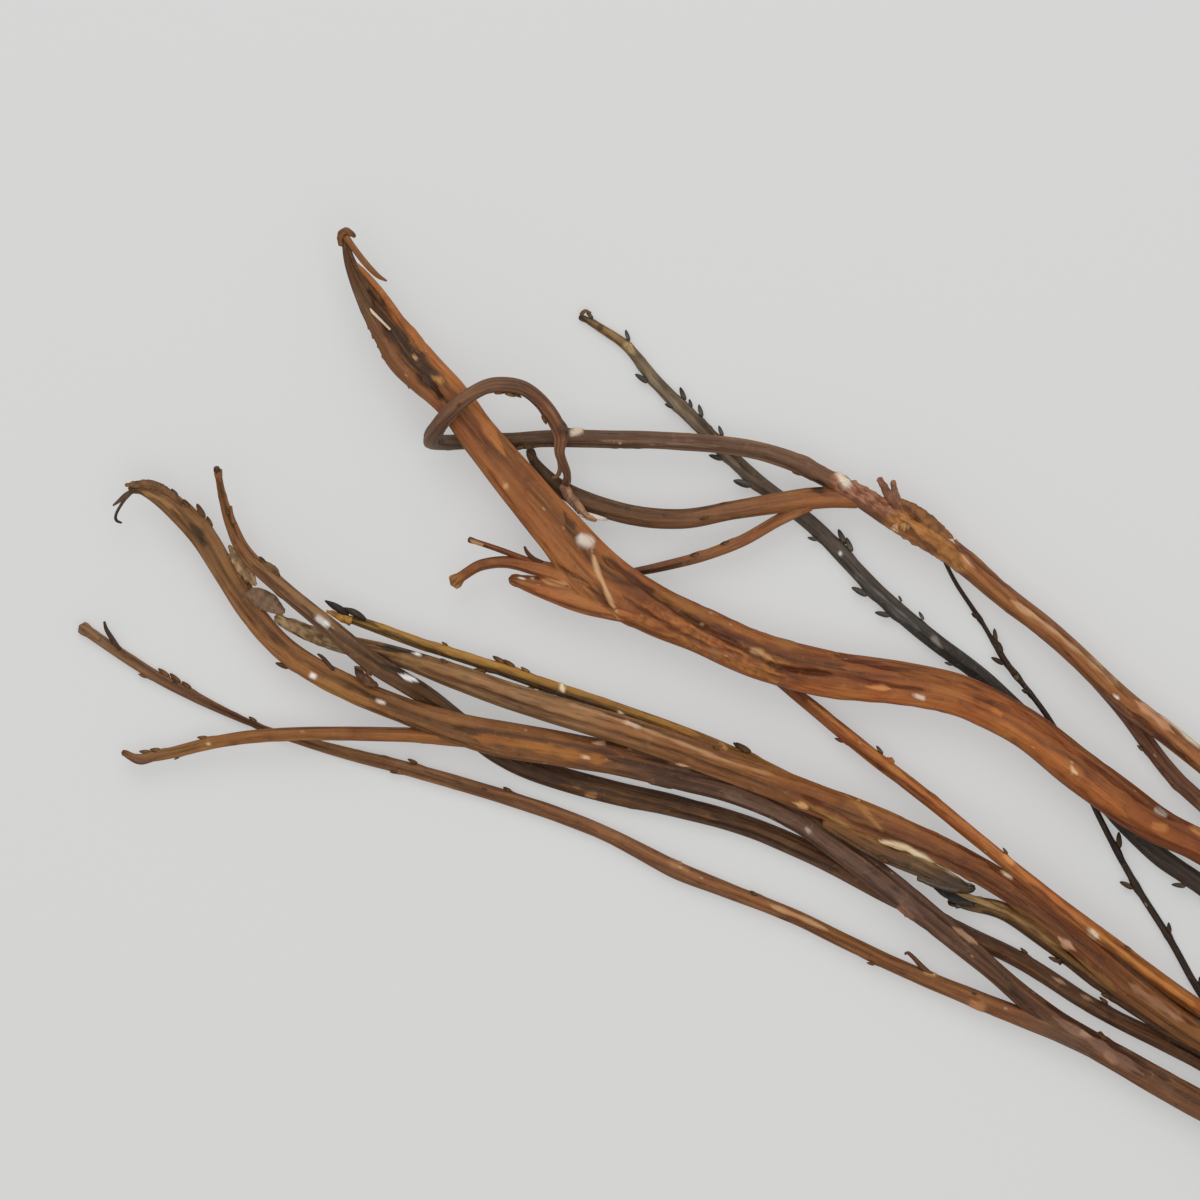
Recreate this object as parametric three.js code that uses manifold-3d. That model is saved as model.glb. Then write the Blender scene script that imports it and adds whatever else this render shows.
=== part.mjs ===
// A bunch of cut fantail willow branches lying on a surface, bound with twine near the cut ends.
// Millimetres, +Z up. The origin is at the middle of the bottom of the whole bunch.
// The tips point to -X and the cut ends to +X.
import * as THREE from "three";
import { mergeVertices } from "three/addons/utils/BufferGeometryUtils.js";
import Module from "manifold-3d";

const wasm = await Module();
wasm.setup();

// ---------- driving dimensions ----------
const RING_STEP = 22; // spacing of the rings along a stem
const RING_SIDES = 8; // sides of a stem's section
const THIN_SIDES = 6; // sides of a twig under 5 mm thick
const THIN = 5;
const BUNCH_TURN = THREE.MathUtils.degToRad(30); // turns the layout so that the bunch runs along X
const BUNCH_SHIFT = [-314, 33, 0]; // brings the middle of the turned bunch to the origin
const TIE_AT = [652, -405]; // where the twine goes round, in the layout
const TIE_HEADING = THREE.MathUtils.degToRad(-35.5); // the direction of the bunch there
const TIE_INNER = 26; // inside radius of the band of twine
const TWINE = 3.2; // thickness of the twine
const TIE_TURNS = 6;
const BUNDLE_HEIGHT = TIE_INNER + TWINE; // height of the middle of the bundle at the twine

// ---------- the stems ----------
// A station is [u, v, height, width, thickness, twist]: u and v are the place in the layout before it is
// turned, width is across the flattened stem, thickness is through it, and twist is in degrees.
// A stem's first path is the stem itself and the others grew out of it, so they are joined to it.

// At the twine each stem has its own place in the bundle: across it and up from its middle.
function inBundle(along, across, up, width, thickness) {
  const u = TIE_AT[0] + along * Math.cos(TIE_HEADING) - across * Math.sin(TIE_HEADING);
  const v = TIE_AT[1] + along * Math.sin(TIE_HEADING) + across * Math.cos(TIE_HEADING);
  return [u, v, BUNDLE_HEIGHT + up, width, thickness, 0];
}

// The stretch that every stem ends with: half way to the twine, at the twine, and the cut end.
function buttEnd(half, tied, width, thickness, beyond) {
  return [
    inBundle(-215, half[0], half[1] - BUNDLE_HEIGHT, width * 0.96, thickness * 0.96),
    inBundle(-95, tied[0] * 1.22 + half[0] * 0.08, tied[1], width, thickness),
    inBundle(0, tied[0], tied[1], width, thickness),
    inBundle(beyond, tied[0] * 1.12, tied[1] * 0.97, width * 1.04, thickness * 1.04),
  ];
}

const stems = {
  // The broadest branch: a strap that opens into a long torn arm, a broken stub and a curled shoot.
  broad_russet_stem: {
    color: 0x9a5a2e,
    paths: [
      [
        [-127, 181, 27, 3, 3, 0],
        [-123.5, 166, 27, 6, 4, 0],
        [-115, 149, 27, 11, 6, 0],
        [-103, 132, 27, 18, 8, 0],
        [-94, 119, 26.5, 20.5, 9.5, 0],
        [-74, 99, 26, 17.5, 10, 0],
        [-59, 79.5, 25.5, 18.5, 10.5, 0],
        [-41, 57.5, 24, 21, 11, 0],
        [-21.5, 35, 22, 23, 12, 0],
        [0, 11, 20, 27, 12.5, 0],
        [25, -4, 18.5, 24, 13, 0],
        [50, -15, 18, 22, 13, 0],
        [80, -28, 18, 22, 13, 0],
        [115, -37, 18, 22.5, 13, 0],
        [150, -41.5, 18, 21.5, 13, 0],
        [180, -48, 18, 21, 13, 0],
        [210, -63, 18, 20.5, 13, 0],
        [235, -82, 18, 22, 13, 0],
        [260, -100.5, 18, 21.5, 13, 0],
        [278, -112.5, 18.5, 19, 13, 0],
        [300, -123.5, 20, 17, 13, 0],
        [350, -153, 24.5, 19, 13, 0],
        ...buttEnd([14, 33], [0, 15.5], 21, 13, 92),
      ],
      [
        [-44.5, 10.5, 17, 4, 4, 0],
        [-37, 8.5, 17, 8, 7, 0],
        [-23, 4.5, 17.5, 12, 10, 0],
        [-5, 0, 18, 15, 11, 0],
        [18, -5, 18.5, 14, 11, 0],
        [38, -10, 18.5, 10, 9, 0],
      ],
      [
        [-73, 8.5, 15, 6.5, 5, 0],
        [-67, 13, 17, 6, 5, 0],
        [-59, 17.5, 19, 6.5, 5.5, 0],
        [-47, 19, 20, 7, 6, 0],
        [-33, 16.5, 20, 9, 7, 0],
        [-15, 11, 19.5, 12, 9, 0],
        [8, 4, 19, 13, 9, 0],
      ],
      [
        [-65, 30, 26, 2.6, 2.6, 0],
        [-50, 25, 24, 2.8, 2.8, 0],
        [-35, 19.5, 22, 3, 3, 0],
        [-22, 15, 20, 3.4, 3.4, 0],
      ],
    ],
  },

  // Its end curls right round the broad branch; two more shoots leave the knotted collar.
  looped_mauve_stem: {
    color: 0x7d5a48,
    paths: [
      [
        [-17, 57, 20, 3.5, 3.5, 0],
        [-16.5, 63, 21.5, 4, 4, 0],
        [-20, 73, 25, 5, 5, 0],
        [-19.5, 82.5, 28, 7, 6.5, 0],
        [-26.5, 95, 33, 7.5, 7, 0],
        [-37.5, 104.5, 37, 7.8, 7.2, 0],
        [-51.5, 106.5, 38.5, 7.8, 7.2, 0],
        [-63, 102, 38.5, 8, 7, 0],
        [-73, 94, 37.5, 8.5, 7, 0],
        [-80, 86, 32, 9, 7.5, 0],
        [-83.5, 80, 23, 9.5, 8, 0],
        [-78, 78.5, 14, 9, 7.5, 0],
        [-64, 79, 12, 8, 7.5, 0],
        [-45, 79.5, 12.5, 7.5, 7.5, 0],
        [-20, 80.5, 14, 8, 8, 0],
        [10, 80, 15, 8.2, 8, 0],
        [40, 79, 15, 8.5, 8, 0],
        [70, 76, 16, 9, 8, 0],
        [92, 70.5, 16.5, 10, 8.5, 0],
        [110, 62, 16.5, 12, 9, 0],
        [130, 51, 16, 14, 10, 0],
        [150, 39, 15.5, 19, 12, 0],
        [170, 27.5, 15, 20, 12.5, 0],
        [185, 16, 14, 15, 11.5, 0],
        [200, 3, 14, 14, 11, 0],
        [230, -21, 14, 15.5, 11, 0],
        [262, -51, 15.5, 15, 11, 0],
        [300, -81, 17.5, 14, 11, 0],
        [350, -127, 20, 14, 11, 0],
        ...buttEnd([38, 26], [14.5, 4.4], 15, 11, 78),
      ],
      [
        [-35, 75, 13, 2.5, 2.5, 0],
        [-32, 68, 12.5, 5, 4.5, 0],
        [-22, 57.5, 11, 8, 6, 0],
        [-8, 49.5, 10.5, 10, 7, 0],
        [15, 42.5, 11.5, 10.5, 7.5, 0],
        [40, 40.5, 13.5, 10.5, 7.5, 0],
        [65, 44.5, 15, 10, 7.5, 0],
        [90, 48.5, 16, 11, 8, 0],
        [110, 51, 16, 11.5, 9, 0],
        [128, 50, 16, 9, 8, 0],
      ],
      [
        [12, 13, 7, 3.6, 3.6, 0],
        [30, 16.5, 8, 4.6, 4.6, 0],
        [50, 21.5, 10, 5.2, 5, 0],
        [70, 29, 12, 5.8, 5.5, 0],
        [88, 39, 14, 6, 6, 0],
        [104, 47.5, 15.5, 7, 6.5, 0],
      ],
    ],
  },

  // A thinner rod that lies against the underside of the looped branch.
  brown_side_stem: {
    color: 0x5e3a26,
    paths: [
      [
        [233, -24, 4.5, 4, 4, 0],
        [246, -38, 4.5, 6.5, 5.5, 0],
        [263, -57.5, 5.5, 7.5, 6.5, 0],
        [282, -83, 6.5, 8, 7, 0],
        [300, -101, 8, 8, 7, 0],
        [350, -145, 10.5, 8.6, 7.4, 0],
        ...buttEnd([32, 13.5], [17.6, -7.2], 10, 8, 60),
      ],
    ],
  },

  // Straight, dark and budded; it lies lowest of the upper branches.
  slate_budded_stem: {
    color: 0x55514a,
    paths: [
      [
        [-10, 141.5, 2.6, 2.6, 2.6, 0],
        [0, 136, 2.6, 4.5, 4, 0],
        [14, 126, 2.8, 5.5, 5, 0],
        [30, 107, 3.2, 7, 6.4, 0],
        [52, 85, 3.5, 7.6, 7, 0],
        [78, 60, 3.7, 8.4, 7.4, 0],
        [108, 36, 3.8, 8.6, 7.6, 0],
        [139, 3.5, 3.9, 9, 7.8, 0],
        [168, -21, 3.8, 9, 7.6, 0],
        [194, -41, 3.6, 8.6, 7.2, 0],
        [235, -82, 3.5, 9, 7, 0],
        [272, -121, 4.2, 9.5, 8, 0],
        [300, -142, 6, 10, 9, 0],
        [350, -177, 7.5, 10.4, 9.2, 0],
        ...buttEnd([12, 8], [9.4, -17.6], 11, 9.5, 84),
      ],
    ],
  },

  dark_thin_twig: {
    color: 0x3a2a20,
    paths: [
      [
        [170, 24, 4.2, 2, 2, 0],
        [178, 8, 4, 2.2, 2.2, 0],
        [190, -10, 3.5, 2.4, 2.4, 0],
        [202, -30, 4.5, 2.6, 2.6, 0],
        [223, -58, 8.2, 2.8, 2.8, 0],
        [238.5, -86, 9.2, 3, 3, 0],
        [251, -112, 7, 3.2, 3.2, 0],
        [268, -143, 3, 3.4, 3.4, 0],
        [285, -170, 2, 3.5, 3.5, 0],
        [301, -198, 2.2, 3.6, 3.6, 0],
        [323, -225, 2.4, 3.8, 3.8, 0],
        [380, -256, 2.8, 4.2, 4.2, 0],
        ...buttEnd([-19, 3.5], [-9.2, -15.8], 4.5, 4.5, 66),
      ],
    ],
  },

  slim_orange_stem: {
    color: 0xa5622f,
    paths: [
      [
        [86, -38, 6, 4.5, 4, 0],
        [100, -48.5, 6.5, 6.5, 6, 0],
        [120, -65, 8, 7.2, 6.6, 0],
        [140, -81, 10, 7.4, 6.8, 0],
        [164.5, -100, 14, 7.2, 6.8, 0],
        [189, -120, 20.5, 7, 6.8, 0],
        [227, -150.5, 27, 7.2, 7, 0],
        [267, -180.5, 26.5, 7.6, 7.2, 0],
        [300, -204, 26, 8, 7.4, 0],
        [345, -231, 26, 8.4, 7.6, 0],
        ...buttEnd([-8.5, 26], [6.6, -8.2], 9, 8, 90),
      ],
    ],
  },

  // A flattened branch whose tip curls over and dries to shreds; two rods grow from its side.
  fanned_purple_stem: {
    color: 0x6b4a3a,
    paths: [
      [
        [-234, 55.5, 17, 3, 3, 0],
        [-225, 54.5, 17, 7, 4.5, 0],
        [-212, 46.5, 16.5, 11, 6, 0],
        [-197, 31, 15.5, 12.5, 7, 0],
        [-185, 11, 14.5, 11.5, 7.5, 0],
        [-172, -8, 14, 12, 8, 0],
        [-155, -26, 14, 12, 8, 0],
        [-130, -41, 14.5, 12.5, 8, 0],
        [-100, -54, 16, 13, 8, 0],
        [-75, -62.5, 17.5, 15, 8.2, 0],
        [-50, -69, 17.5, 18, 8.4, 0],
        [-20, -74, 16, 17.5, 8.6, 0],
        [10, -79.5, 15, 16.5, 8.6, 0],
        [40, -87, 15, 15.5, 8.6, 0],
        [70, -95.5, 15, 15, 8.6, 0],
        [100, -109, 15, 15, 8.6, 0],
        [125, -127, 15, 14.5, 8.6, 0],
        [150, -146.5, 14.8, 13.5, 8.6, 0],
        [175, -167, 14.5, 11.5, 8.6, 0],
        [200, -188, 13, 10, 8.6, 0],
        [225, -208.5, 11.5, 12, 9, 0],
        [250, -223.5, 11, 12.5, 9.5, 0],
        [300, -252, 12, 14, 10.5, 0],
        [350, -277, 15.5, 14.4, 10.8, 0],
        ...buttEnd([-44, 23], [-15.6, 3.6], 15, 11, 70),
      ],
      [
        [-238, -76, 9, 2.5, 2.5, 0],
        [-229, -78.8, 9, 4, 3.4, 0],
        [-213, -76, 9.5, 5.4, 4.6, 0],
        [-190, -70.5, 11, 6, 5.4, 0],
        [-165, -67.3, 12.5, 7, 6, 0],
        [-130, -66.5, 13.2, 7.6, 6.4, 0],
        [-95, -67.3, 13.8, 8, 6.8, 0],
        [-68, -69, 15, 9, 7.2, 0],
        [-45, -71, 16, 9, 7.2, 0],
      ],
      [
        [-259, -13.5, 2.7, 5.4, 5, 0],
        [-245, -23, 2.6, 5.2, 4.8, 0],
        [-222, -38, 2.5, 5.4, 5, 0],
        [-200, -49.5, 2.4, 5.2, 4.6, 0],
        [-178, -60, 2.2, 3.4, 3.2, 0],
        [-160, -67, 2.4, 4, 3.6, 0],
        [-130, -75.5, 2.8, 6.2, 5.4, 0],
        [-95, -84.5, 3.2, 7, 6.2, 0],
        [-55, -96, 3.4, 7.6, 6.8, 0],
        [-20, -107.5, 3.5, 8, 7, 0],
        [5, -117.5, 3.5, 8, 7, 0],
        [38, -134.5, 4.2, 9.6, 8, 0],
        [65, -145.5, 4.1, 8.4, 7.6, 0],
        [100, -159.5, 4.6, 8, 7.6, 0],
        [140, -179, 6, 8.4, 7.8, 0],
        [175, -194, 7.5, 9, 8, 0],
        [205, -206, 9.5, 9.5, 8.4, 0],
        [230, -216, 11, 10, 8.4, 0],
        [250, -226, 11, 9, 8, 0],
        [272, -238.5, 11.5, 5, 6, 0],
      ],
    ],
  },

  // Weaves through the others: under the fanned strap, then up and over the ridged branch.
  olive_weaving_stem: {
    color: 0x5c4630,
    paths: [
      [
        [-189.5, 64.5, 26, 3.6, 3.6, 0],
        [-187.5, 52.5, 26, 4.2, 4, 0],
        [-183, 37.5, 25.5, 6.2, 5.2, 0],
        [-175, 22, 25.5, 7.6, 6.2, 0],
        [-156, 4.5, 25.5, 8.8, 7, 0],
        [-135, -12.5, 25.2, 9.6, 7, 0],
        [-115, -29.5, 23.5, 10.5, 7.5, 0],
        [-97.5, -40.5, 18.5, 10.2, 7.4, 0],
        [-83.5, -50, 9.5, 10, 7.2, 0],
        [-70, -61.5, 5, 10.5, 7.2, 0],
        [-52, -76, 3.7, 11, 7.2, 0],
        [-30, -86, 3.8, 12, 7.6, 0],
        [0, -94.5, 4, 12.5, 8, 0],
        [40, -103.5, 4.1, 11.5, 8.2, 0],
        [75, -113.5, 4.2, 11, 8.4, 0],
        [110, -128.5, 4.2, 11, 8.4, 0],
        [145, -147, 4.3, 10, 8.4, 0],
        [180, -165.5, 4.8, 9, 8.2, 0],
        [210, -180, 5, 9, 8.4, 0],
        [250, -205, 5.2, 9, 8.6, 0],
        [300, -230, 6.5, 9.6, 9, 0],
        [345, -260, 8.5, 10.4, 9.2, 0],
        ...buttEnd([-39, 12], [-16.2, -8.6], 12, 10, 82),
      ],
    ],
  },

  slim_olive_stem: {
    color: 0x8a6a34,
    paths: [
      [
        [-127, -9, 14, 3, 3, 0],
        [-116, -12, 14, 5.6, 5, 0],
        [-90, -21.5, 13, 6, 5.4, 0],
        [-60, -31, 12, 6.2, 5.6, 0],
        [-30, -41.5, 11, 6.2, 5.6, 0],
        [0, -51.5, 10, 6.3, 5.7, 0],
        [40, -65.5, 9, 6.3, 5.8, 0],
        [78, -81.5, 8, 6.4, 6, 0],
        [110, -97, 8, 6.5, 6, 0],
        [150, -115, 8, 6.6, 6, 0],
        [200, -139.5, 8, 6.8, 6.2, 0],
        [250, -174, 8, 7, 6.4, 0],
        [300, -207, 8, 7.2, 6.6, 0],
        [345, -236, 9, 7.4, 6.8, 0],
        ...buttEnd([-14, 11], [-1, -19], 8, 7, 58),
      ],
    ],
  },

  // Broad and brown with a pale ridge; a strip has torn away from its lower edge.
  ridged_brown_stem: {
    color: 0x8a5a3a,
    paths: [
      [
        [-161, -8.5, 17, 4, 3, 0],
        [-155, -12, 16, 7, 4, 0],
        [-144, -17, 14, 8.6, 5, 0],
        [-126, -22.5, 13, 10, 6.4, 0],
        [-100, -28.5, 13.5, 10.5, 7.5, 0],
        [-70, -39, 15, 13.5, 8.5, 0],
        [-40, -49.5, 18, 14.5, 9, 0],
        [-5, -60, 22, 15.5, 9.5, 0],
        [30, -71, 23.2, 15.2, 9.5, 0],
        [60, -82, 23, 14.5, 9.5, 0],
        [95, -94.5, 23, 15, 9.5, 0],
        [130, -108, 22, 16, 9.5, 0],
        [165, -122, 20.5, 14, 9.5, 0],
        [200, -141, 20, 13.5, 9.5, 0],
        [235, -167, 20.5, 13.5, 10, 0],
        [265, -193, 23, 14, 10, 0],
        [300, -218, 24.5, 13, 10.5, 0],
        [345, -246, 26, 13.2, 10.5, 0],
        ...buttEnd([-22, 27.5], [-0.6, 2.4], 14, 10.5, 88),
      ],
      [
        [186, -143.5, 19, 3, 2.5, 0],
        [178, -142, 19, 7, 4, 0],
        [160, -133.5, 19.5, 9, 5.5, 0],
        [138, -124, 20, 9, 6, 0],
        [112, -109, 21, 8, 6, 0],
      ],
    ],
  },

  torn_olive_stem: {
    color: 0x5a4e36,
    paths: [
      [
        [174, -150.5, 8.5, 3, 3, 0],
        [184, -151.5, 8.8, 7, 5.5, 0],
        [203, -156, 9, 9.4, 7.5, 0],
        [228, -173.5, 9.6, 9.8, 8, 0],
        [250, -190.5, 12, 9.8, 8.2, 0],
        [275, -207.5, 13.4, 9.8, 8.4, 0],
        [300, -221, 14.4, 10, 8.6, 0],
        [345, -249, 15.2, 10.4, 8.8, 0],
        ...buttEnd([-26, 16], [-4.2, -8.4], 11, 9, 76),
      ],
    ],
  },
};

// ---------- solids ----------
function toManifold(geometry) {
  geometry.deleteAttribute("normal");
  geometry.deleteAttribute("uv");
  const merged = mergeVertices(geometry, 1e-4);
  return new wasm.Manifold(
    new wasm.Mesh({
      numProp: 3,
      vertProperties: merged.attributes.position.array,
      triVerts: new Uint32Array(merged.index.array),
    }),
  );
}

function toGeometry(solid) {
  const mesh = solid.getMesh();
  const geometry = new THREE.BufferGeometry();
  geometry.setAttribute("position", new THREE.BufferAttribute(mesh.vertProperties, 3));
  geometry.setIndex(new THREE.BufferAttribute(mesh.triVerts, 1));
  const flat = geometry.toNonIndexed();
  flat.computeVertexNormals();
  return flat;
}

// One length of stem: a cylinder whose rings are moved onto the path and given its width and thickness.
function stemSolid(stations) {
  const place = new THREE.CatmullRomCurve3(
    stations.map((s) => new THREE.Vector3(s[0], s[1], s[2])),
    false,
    "catmullrom",
    0.5,
  );
  const section = new THREE.CatmullRomCurve3(
    stations.map((s) => new THREE.Vector3(s[3], s[4], s[5])),
    false,
    "catmullrom",
    0.5,
  );
  const thickest = Math.max(...stations.map((s) => s[4]));
  const sides = thickest < THIN ? THIN_SIDES : RING_SIDES;
  const spans = stations.length - 1;
  const ringAt = [];
  for (let span = 0; span < spans; span += 1) {
    const from = new THREE.Vector3(...stations[span].slice(0, 3));
    const to = new THREE.Vector3(...stations[span + 1].slice(0, 3));
    const pieces = Math.max(1, Math.round(from.distanceTo(to) / RING_STEP));
    for (let piece = 0; piece < pieces; piece += 1) ringAt.push((span + piece / pieces) / spans);
  }
  ringAt.push(1);

  const rings = ringAt.length - 1;
  const geometry = new THREE.CylinderGeometry(1, 1, 1, sides, rings, false);
  const across = new THREE.Vector3();
  const frames = ringAt.map((t) => {
    const along = place.getTangent(t).normalize();
    if (across.lengthSq() === 0) across.set(-along.y, along.x, 0);
    across.addScaledVector(along, -across.dot(along)).normalize();
    const up = new THREE.Vector3().crossVectors(along, across);
    const shape = section.getPoint(t);
    const twist = THREE.MathUtils.degToRad(shape.z);
    const wide = across.clone().multiplyScalar(Math.cos(twist)).addScaledVector(up, Math.sin(twist));
    const thick = up.clone().multiplyScalar(Math.cos(twist)).addScaledVector(across, -Math.sin(twist));
    wide.multiplyScalar(shape.x / 2);
    thick.multiplyScalar(shape.y / 2);
    return { middle: place.getPoint(t), wide, thick };
  });

  const position = geometry.attributes.position;
  const point = new THREE.Vector3();
  for (let i = 0; i < position.count; i += 1) {
    point.fromBufferAttribute(position, i);
    const frame = frames[Math.round((0.5 - point.y) * rings)];
    const x = point.x;
    const z = point.z;
    point.copy(frame.middle).addScaledVector(frame.wide, x).addScaledVector(frame.thick, z);
    position.setXYZ(i, point.x, point.y, point.z);
  }
  return toManifold(geometry);
}

// The twine: turns of cord side by side, as one closed ring with a scalloped outside.
function tieSolid() {
  const half = (TIE_TURNS * TWINE) / 2;
  const outline = [new THREE.Vector2(TIE_INNER, -half)];
  for (let turn = 0; turn < TIE_TURNS; turn += 1) {
    const start = -half + turn * TWINE;
    outline.push(new THREE.Vector2(TIE_INNER + TWINE * 0.72, start + TWINE * 0.04));
    outline.push(new THREE.Vector2(TIE_INNER + TWINE, start + TWINE * 0.5));
  }
  outline.push(new THREE.Vector2(TIE_INNER + TWINE * 0.72, half - TWINE * 0.04));
  outline.push(new THREE.Vector2(TIE_INNER, half));
  outline.push(outline[0].clone());
  const geometry = new THREE.LatheGeometry(outline, 28);
  geometry.rotateZ(TIE_HEADING - Math.PI / 2);
  geometry.translate(TIE_AT[0], TIE_AT[1], BUNDLE_HEIGHT);
  return toManifold(geometry);
}

// ---------- the bunch ----------
const bunch = new THREE.Group();
bunch.rotation.z = BUNCH_TURN;
bunch.position.set(...BUNCH_SHIFT);

for (const [name, stem] of Object.entries(stems)) {
  let solid = stemSolid(stem.paths[0]);
  for (const path of stem.paths.slice(1)) solid = solid.add(stemSolid(path));
  const material = new THREE.MeshStandardMaterial({ color: stem.color, roughness: 0.6, metalness: 0 });
  const mesh = new THREE.Mesh(toGeometry(solid), material);
  mesh.name = name;
  bunch.add(mesh);
}

const twineMaterial = new THREE.MeshStandardMaterial({ color: 0xb59a6a, roughness: 0.95, metalness: 0 });
const tie = new THREE.Mesh(toGeometry(tieSolid()), twineMaterial);
tie.name = "twine_tie";
bunch.add(tie);

export default bunch;
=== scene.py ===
import math
import random

import bmesh
import bpy
import numpy as np
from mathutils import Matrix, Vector, noise


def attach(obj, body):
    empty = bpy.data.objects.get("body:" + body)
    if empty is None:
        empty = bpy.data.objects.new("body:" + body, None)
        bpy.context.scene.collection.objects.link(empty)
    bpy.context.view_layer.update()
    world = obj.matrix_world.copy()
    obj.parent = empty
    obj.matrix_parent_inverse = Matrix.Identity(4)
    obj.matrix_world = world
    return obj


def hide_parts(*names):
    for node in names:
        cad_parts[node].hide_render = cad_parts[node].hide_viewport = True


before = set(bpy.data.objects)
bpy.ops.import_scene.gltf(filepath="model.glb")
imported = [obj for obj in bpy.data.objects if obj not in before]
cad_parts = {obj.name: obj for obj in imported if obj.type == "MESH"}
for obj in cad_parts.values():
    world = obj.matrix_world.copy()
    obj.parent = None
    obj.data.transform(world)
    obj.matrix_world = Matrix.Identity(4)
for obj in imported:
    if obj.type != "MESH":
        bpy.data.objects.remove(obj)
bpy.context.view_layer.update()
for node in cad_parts.values():
    node.select_set(False)

scene = bpy.context.scene
MM = 0.001

# ---------- where things lie ----------
# The branches are laid out flat in millimetres: u to the right, v up the table, and height.
BUNCH_TURN = math.radians(30)  # the layout is turned by this, so that the bunch runs along X
BUNCH_SHIFT = Vector((-314, 33, 0))  # and then brought to the middle of the frame
TIE_AT = (652, -405)
TIE_HEADING = math.radians(-35.5)
TIE_INNER = 26
TWINE = 3.2
TIE_TURNS = 6
BUNDLE_HEIGHT = TIE_INNER + TWINE


def to_frame(points):
    """Layout millimetres to the frame's metres; points is an array whose last axis is u, v, height."""
    c, s = math.cos(BUNCH_TURN), math.sin(BUNCH_TURN)
    out = np.empty_like(points)
    out[..., 0] = (c * points[..., 0] - s * points[..., 1] + BUNCH_SHIFT.x) * MM
    out[..., 1] = (s * points[..., 0] + c * points[..., 1] + BUNCH_SHIFT.y) * MM
    out[..., 2] = points[..., 2] * MM
    return out


def in_bundle(along, across, up, width, thick):
    """A branch's own place in the bundle, across it and up from its middle, near the twine."""
    c, s = math.cos(TIE_HEADING), math.sin(TIE_HEADING)
    u = TIE_AT[0] + along * c - across * s
    v = TIE_AT[1] + along * s + across * c
    return (u, v, BUNDLE_HEIGHT + up, width, thick)


def butt_end(half, tied, width, thick, beyond):
    """The stretch that every branch ends with: half way to the twine, at the twine, and the cut end."""
    return [
        in_bundle(-215, half[0], half[1] - BUNDLE_HEIGHT, width * 0.96, thick * 0.96),
        in_bundle(-95, tied[0] * 1.22 + half[0] * 0.08, tied[1], width, thick),
        in_bundle(0, tied[0], tied[1], width, thick),
        in_bundle(beyond, tied[0] * 1.12, tied[1] * 0.97, width * 1.04, thick * 1.04),
    ]


def linear(code):
    """A colour code such as "8a5a3a" as linear red, green and blue."""
    parts = [int(code[i : i + 2], 16) / 255 for i in (0, 2, 4)]
    return np.array([p / 12.92 if p <= 0.04045 else ((p + 0.055) / 1.055) ** 2.4 for p in parts])


# ---------- the branches ----------
# A station is (u, v, height, width, thickness). A tint is (station number, colour).
# A mark is (half width, rise, colour, strength, [(u, v), ...]): a furrow, ridge, scar or patch on the
# upper side, or a band of painted shade where a stem lies in shadow or under another stem.
# A rough is (half width, rise, colour of its hollows, colour of its lumps, [(u, v), ...]): torn bark.
# A bud is (u, v, length); a nub is (u, v, size, colour); a sliver is (colour, [stations]).

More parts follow.
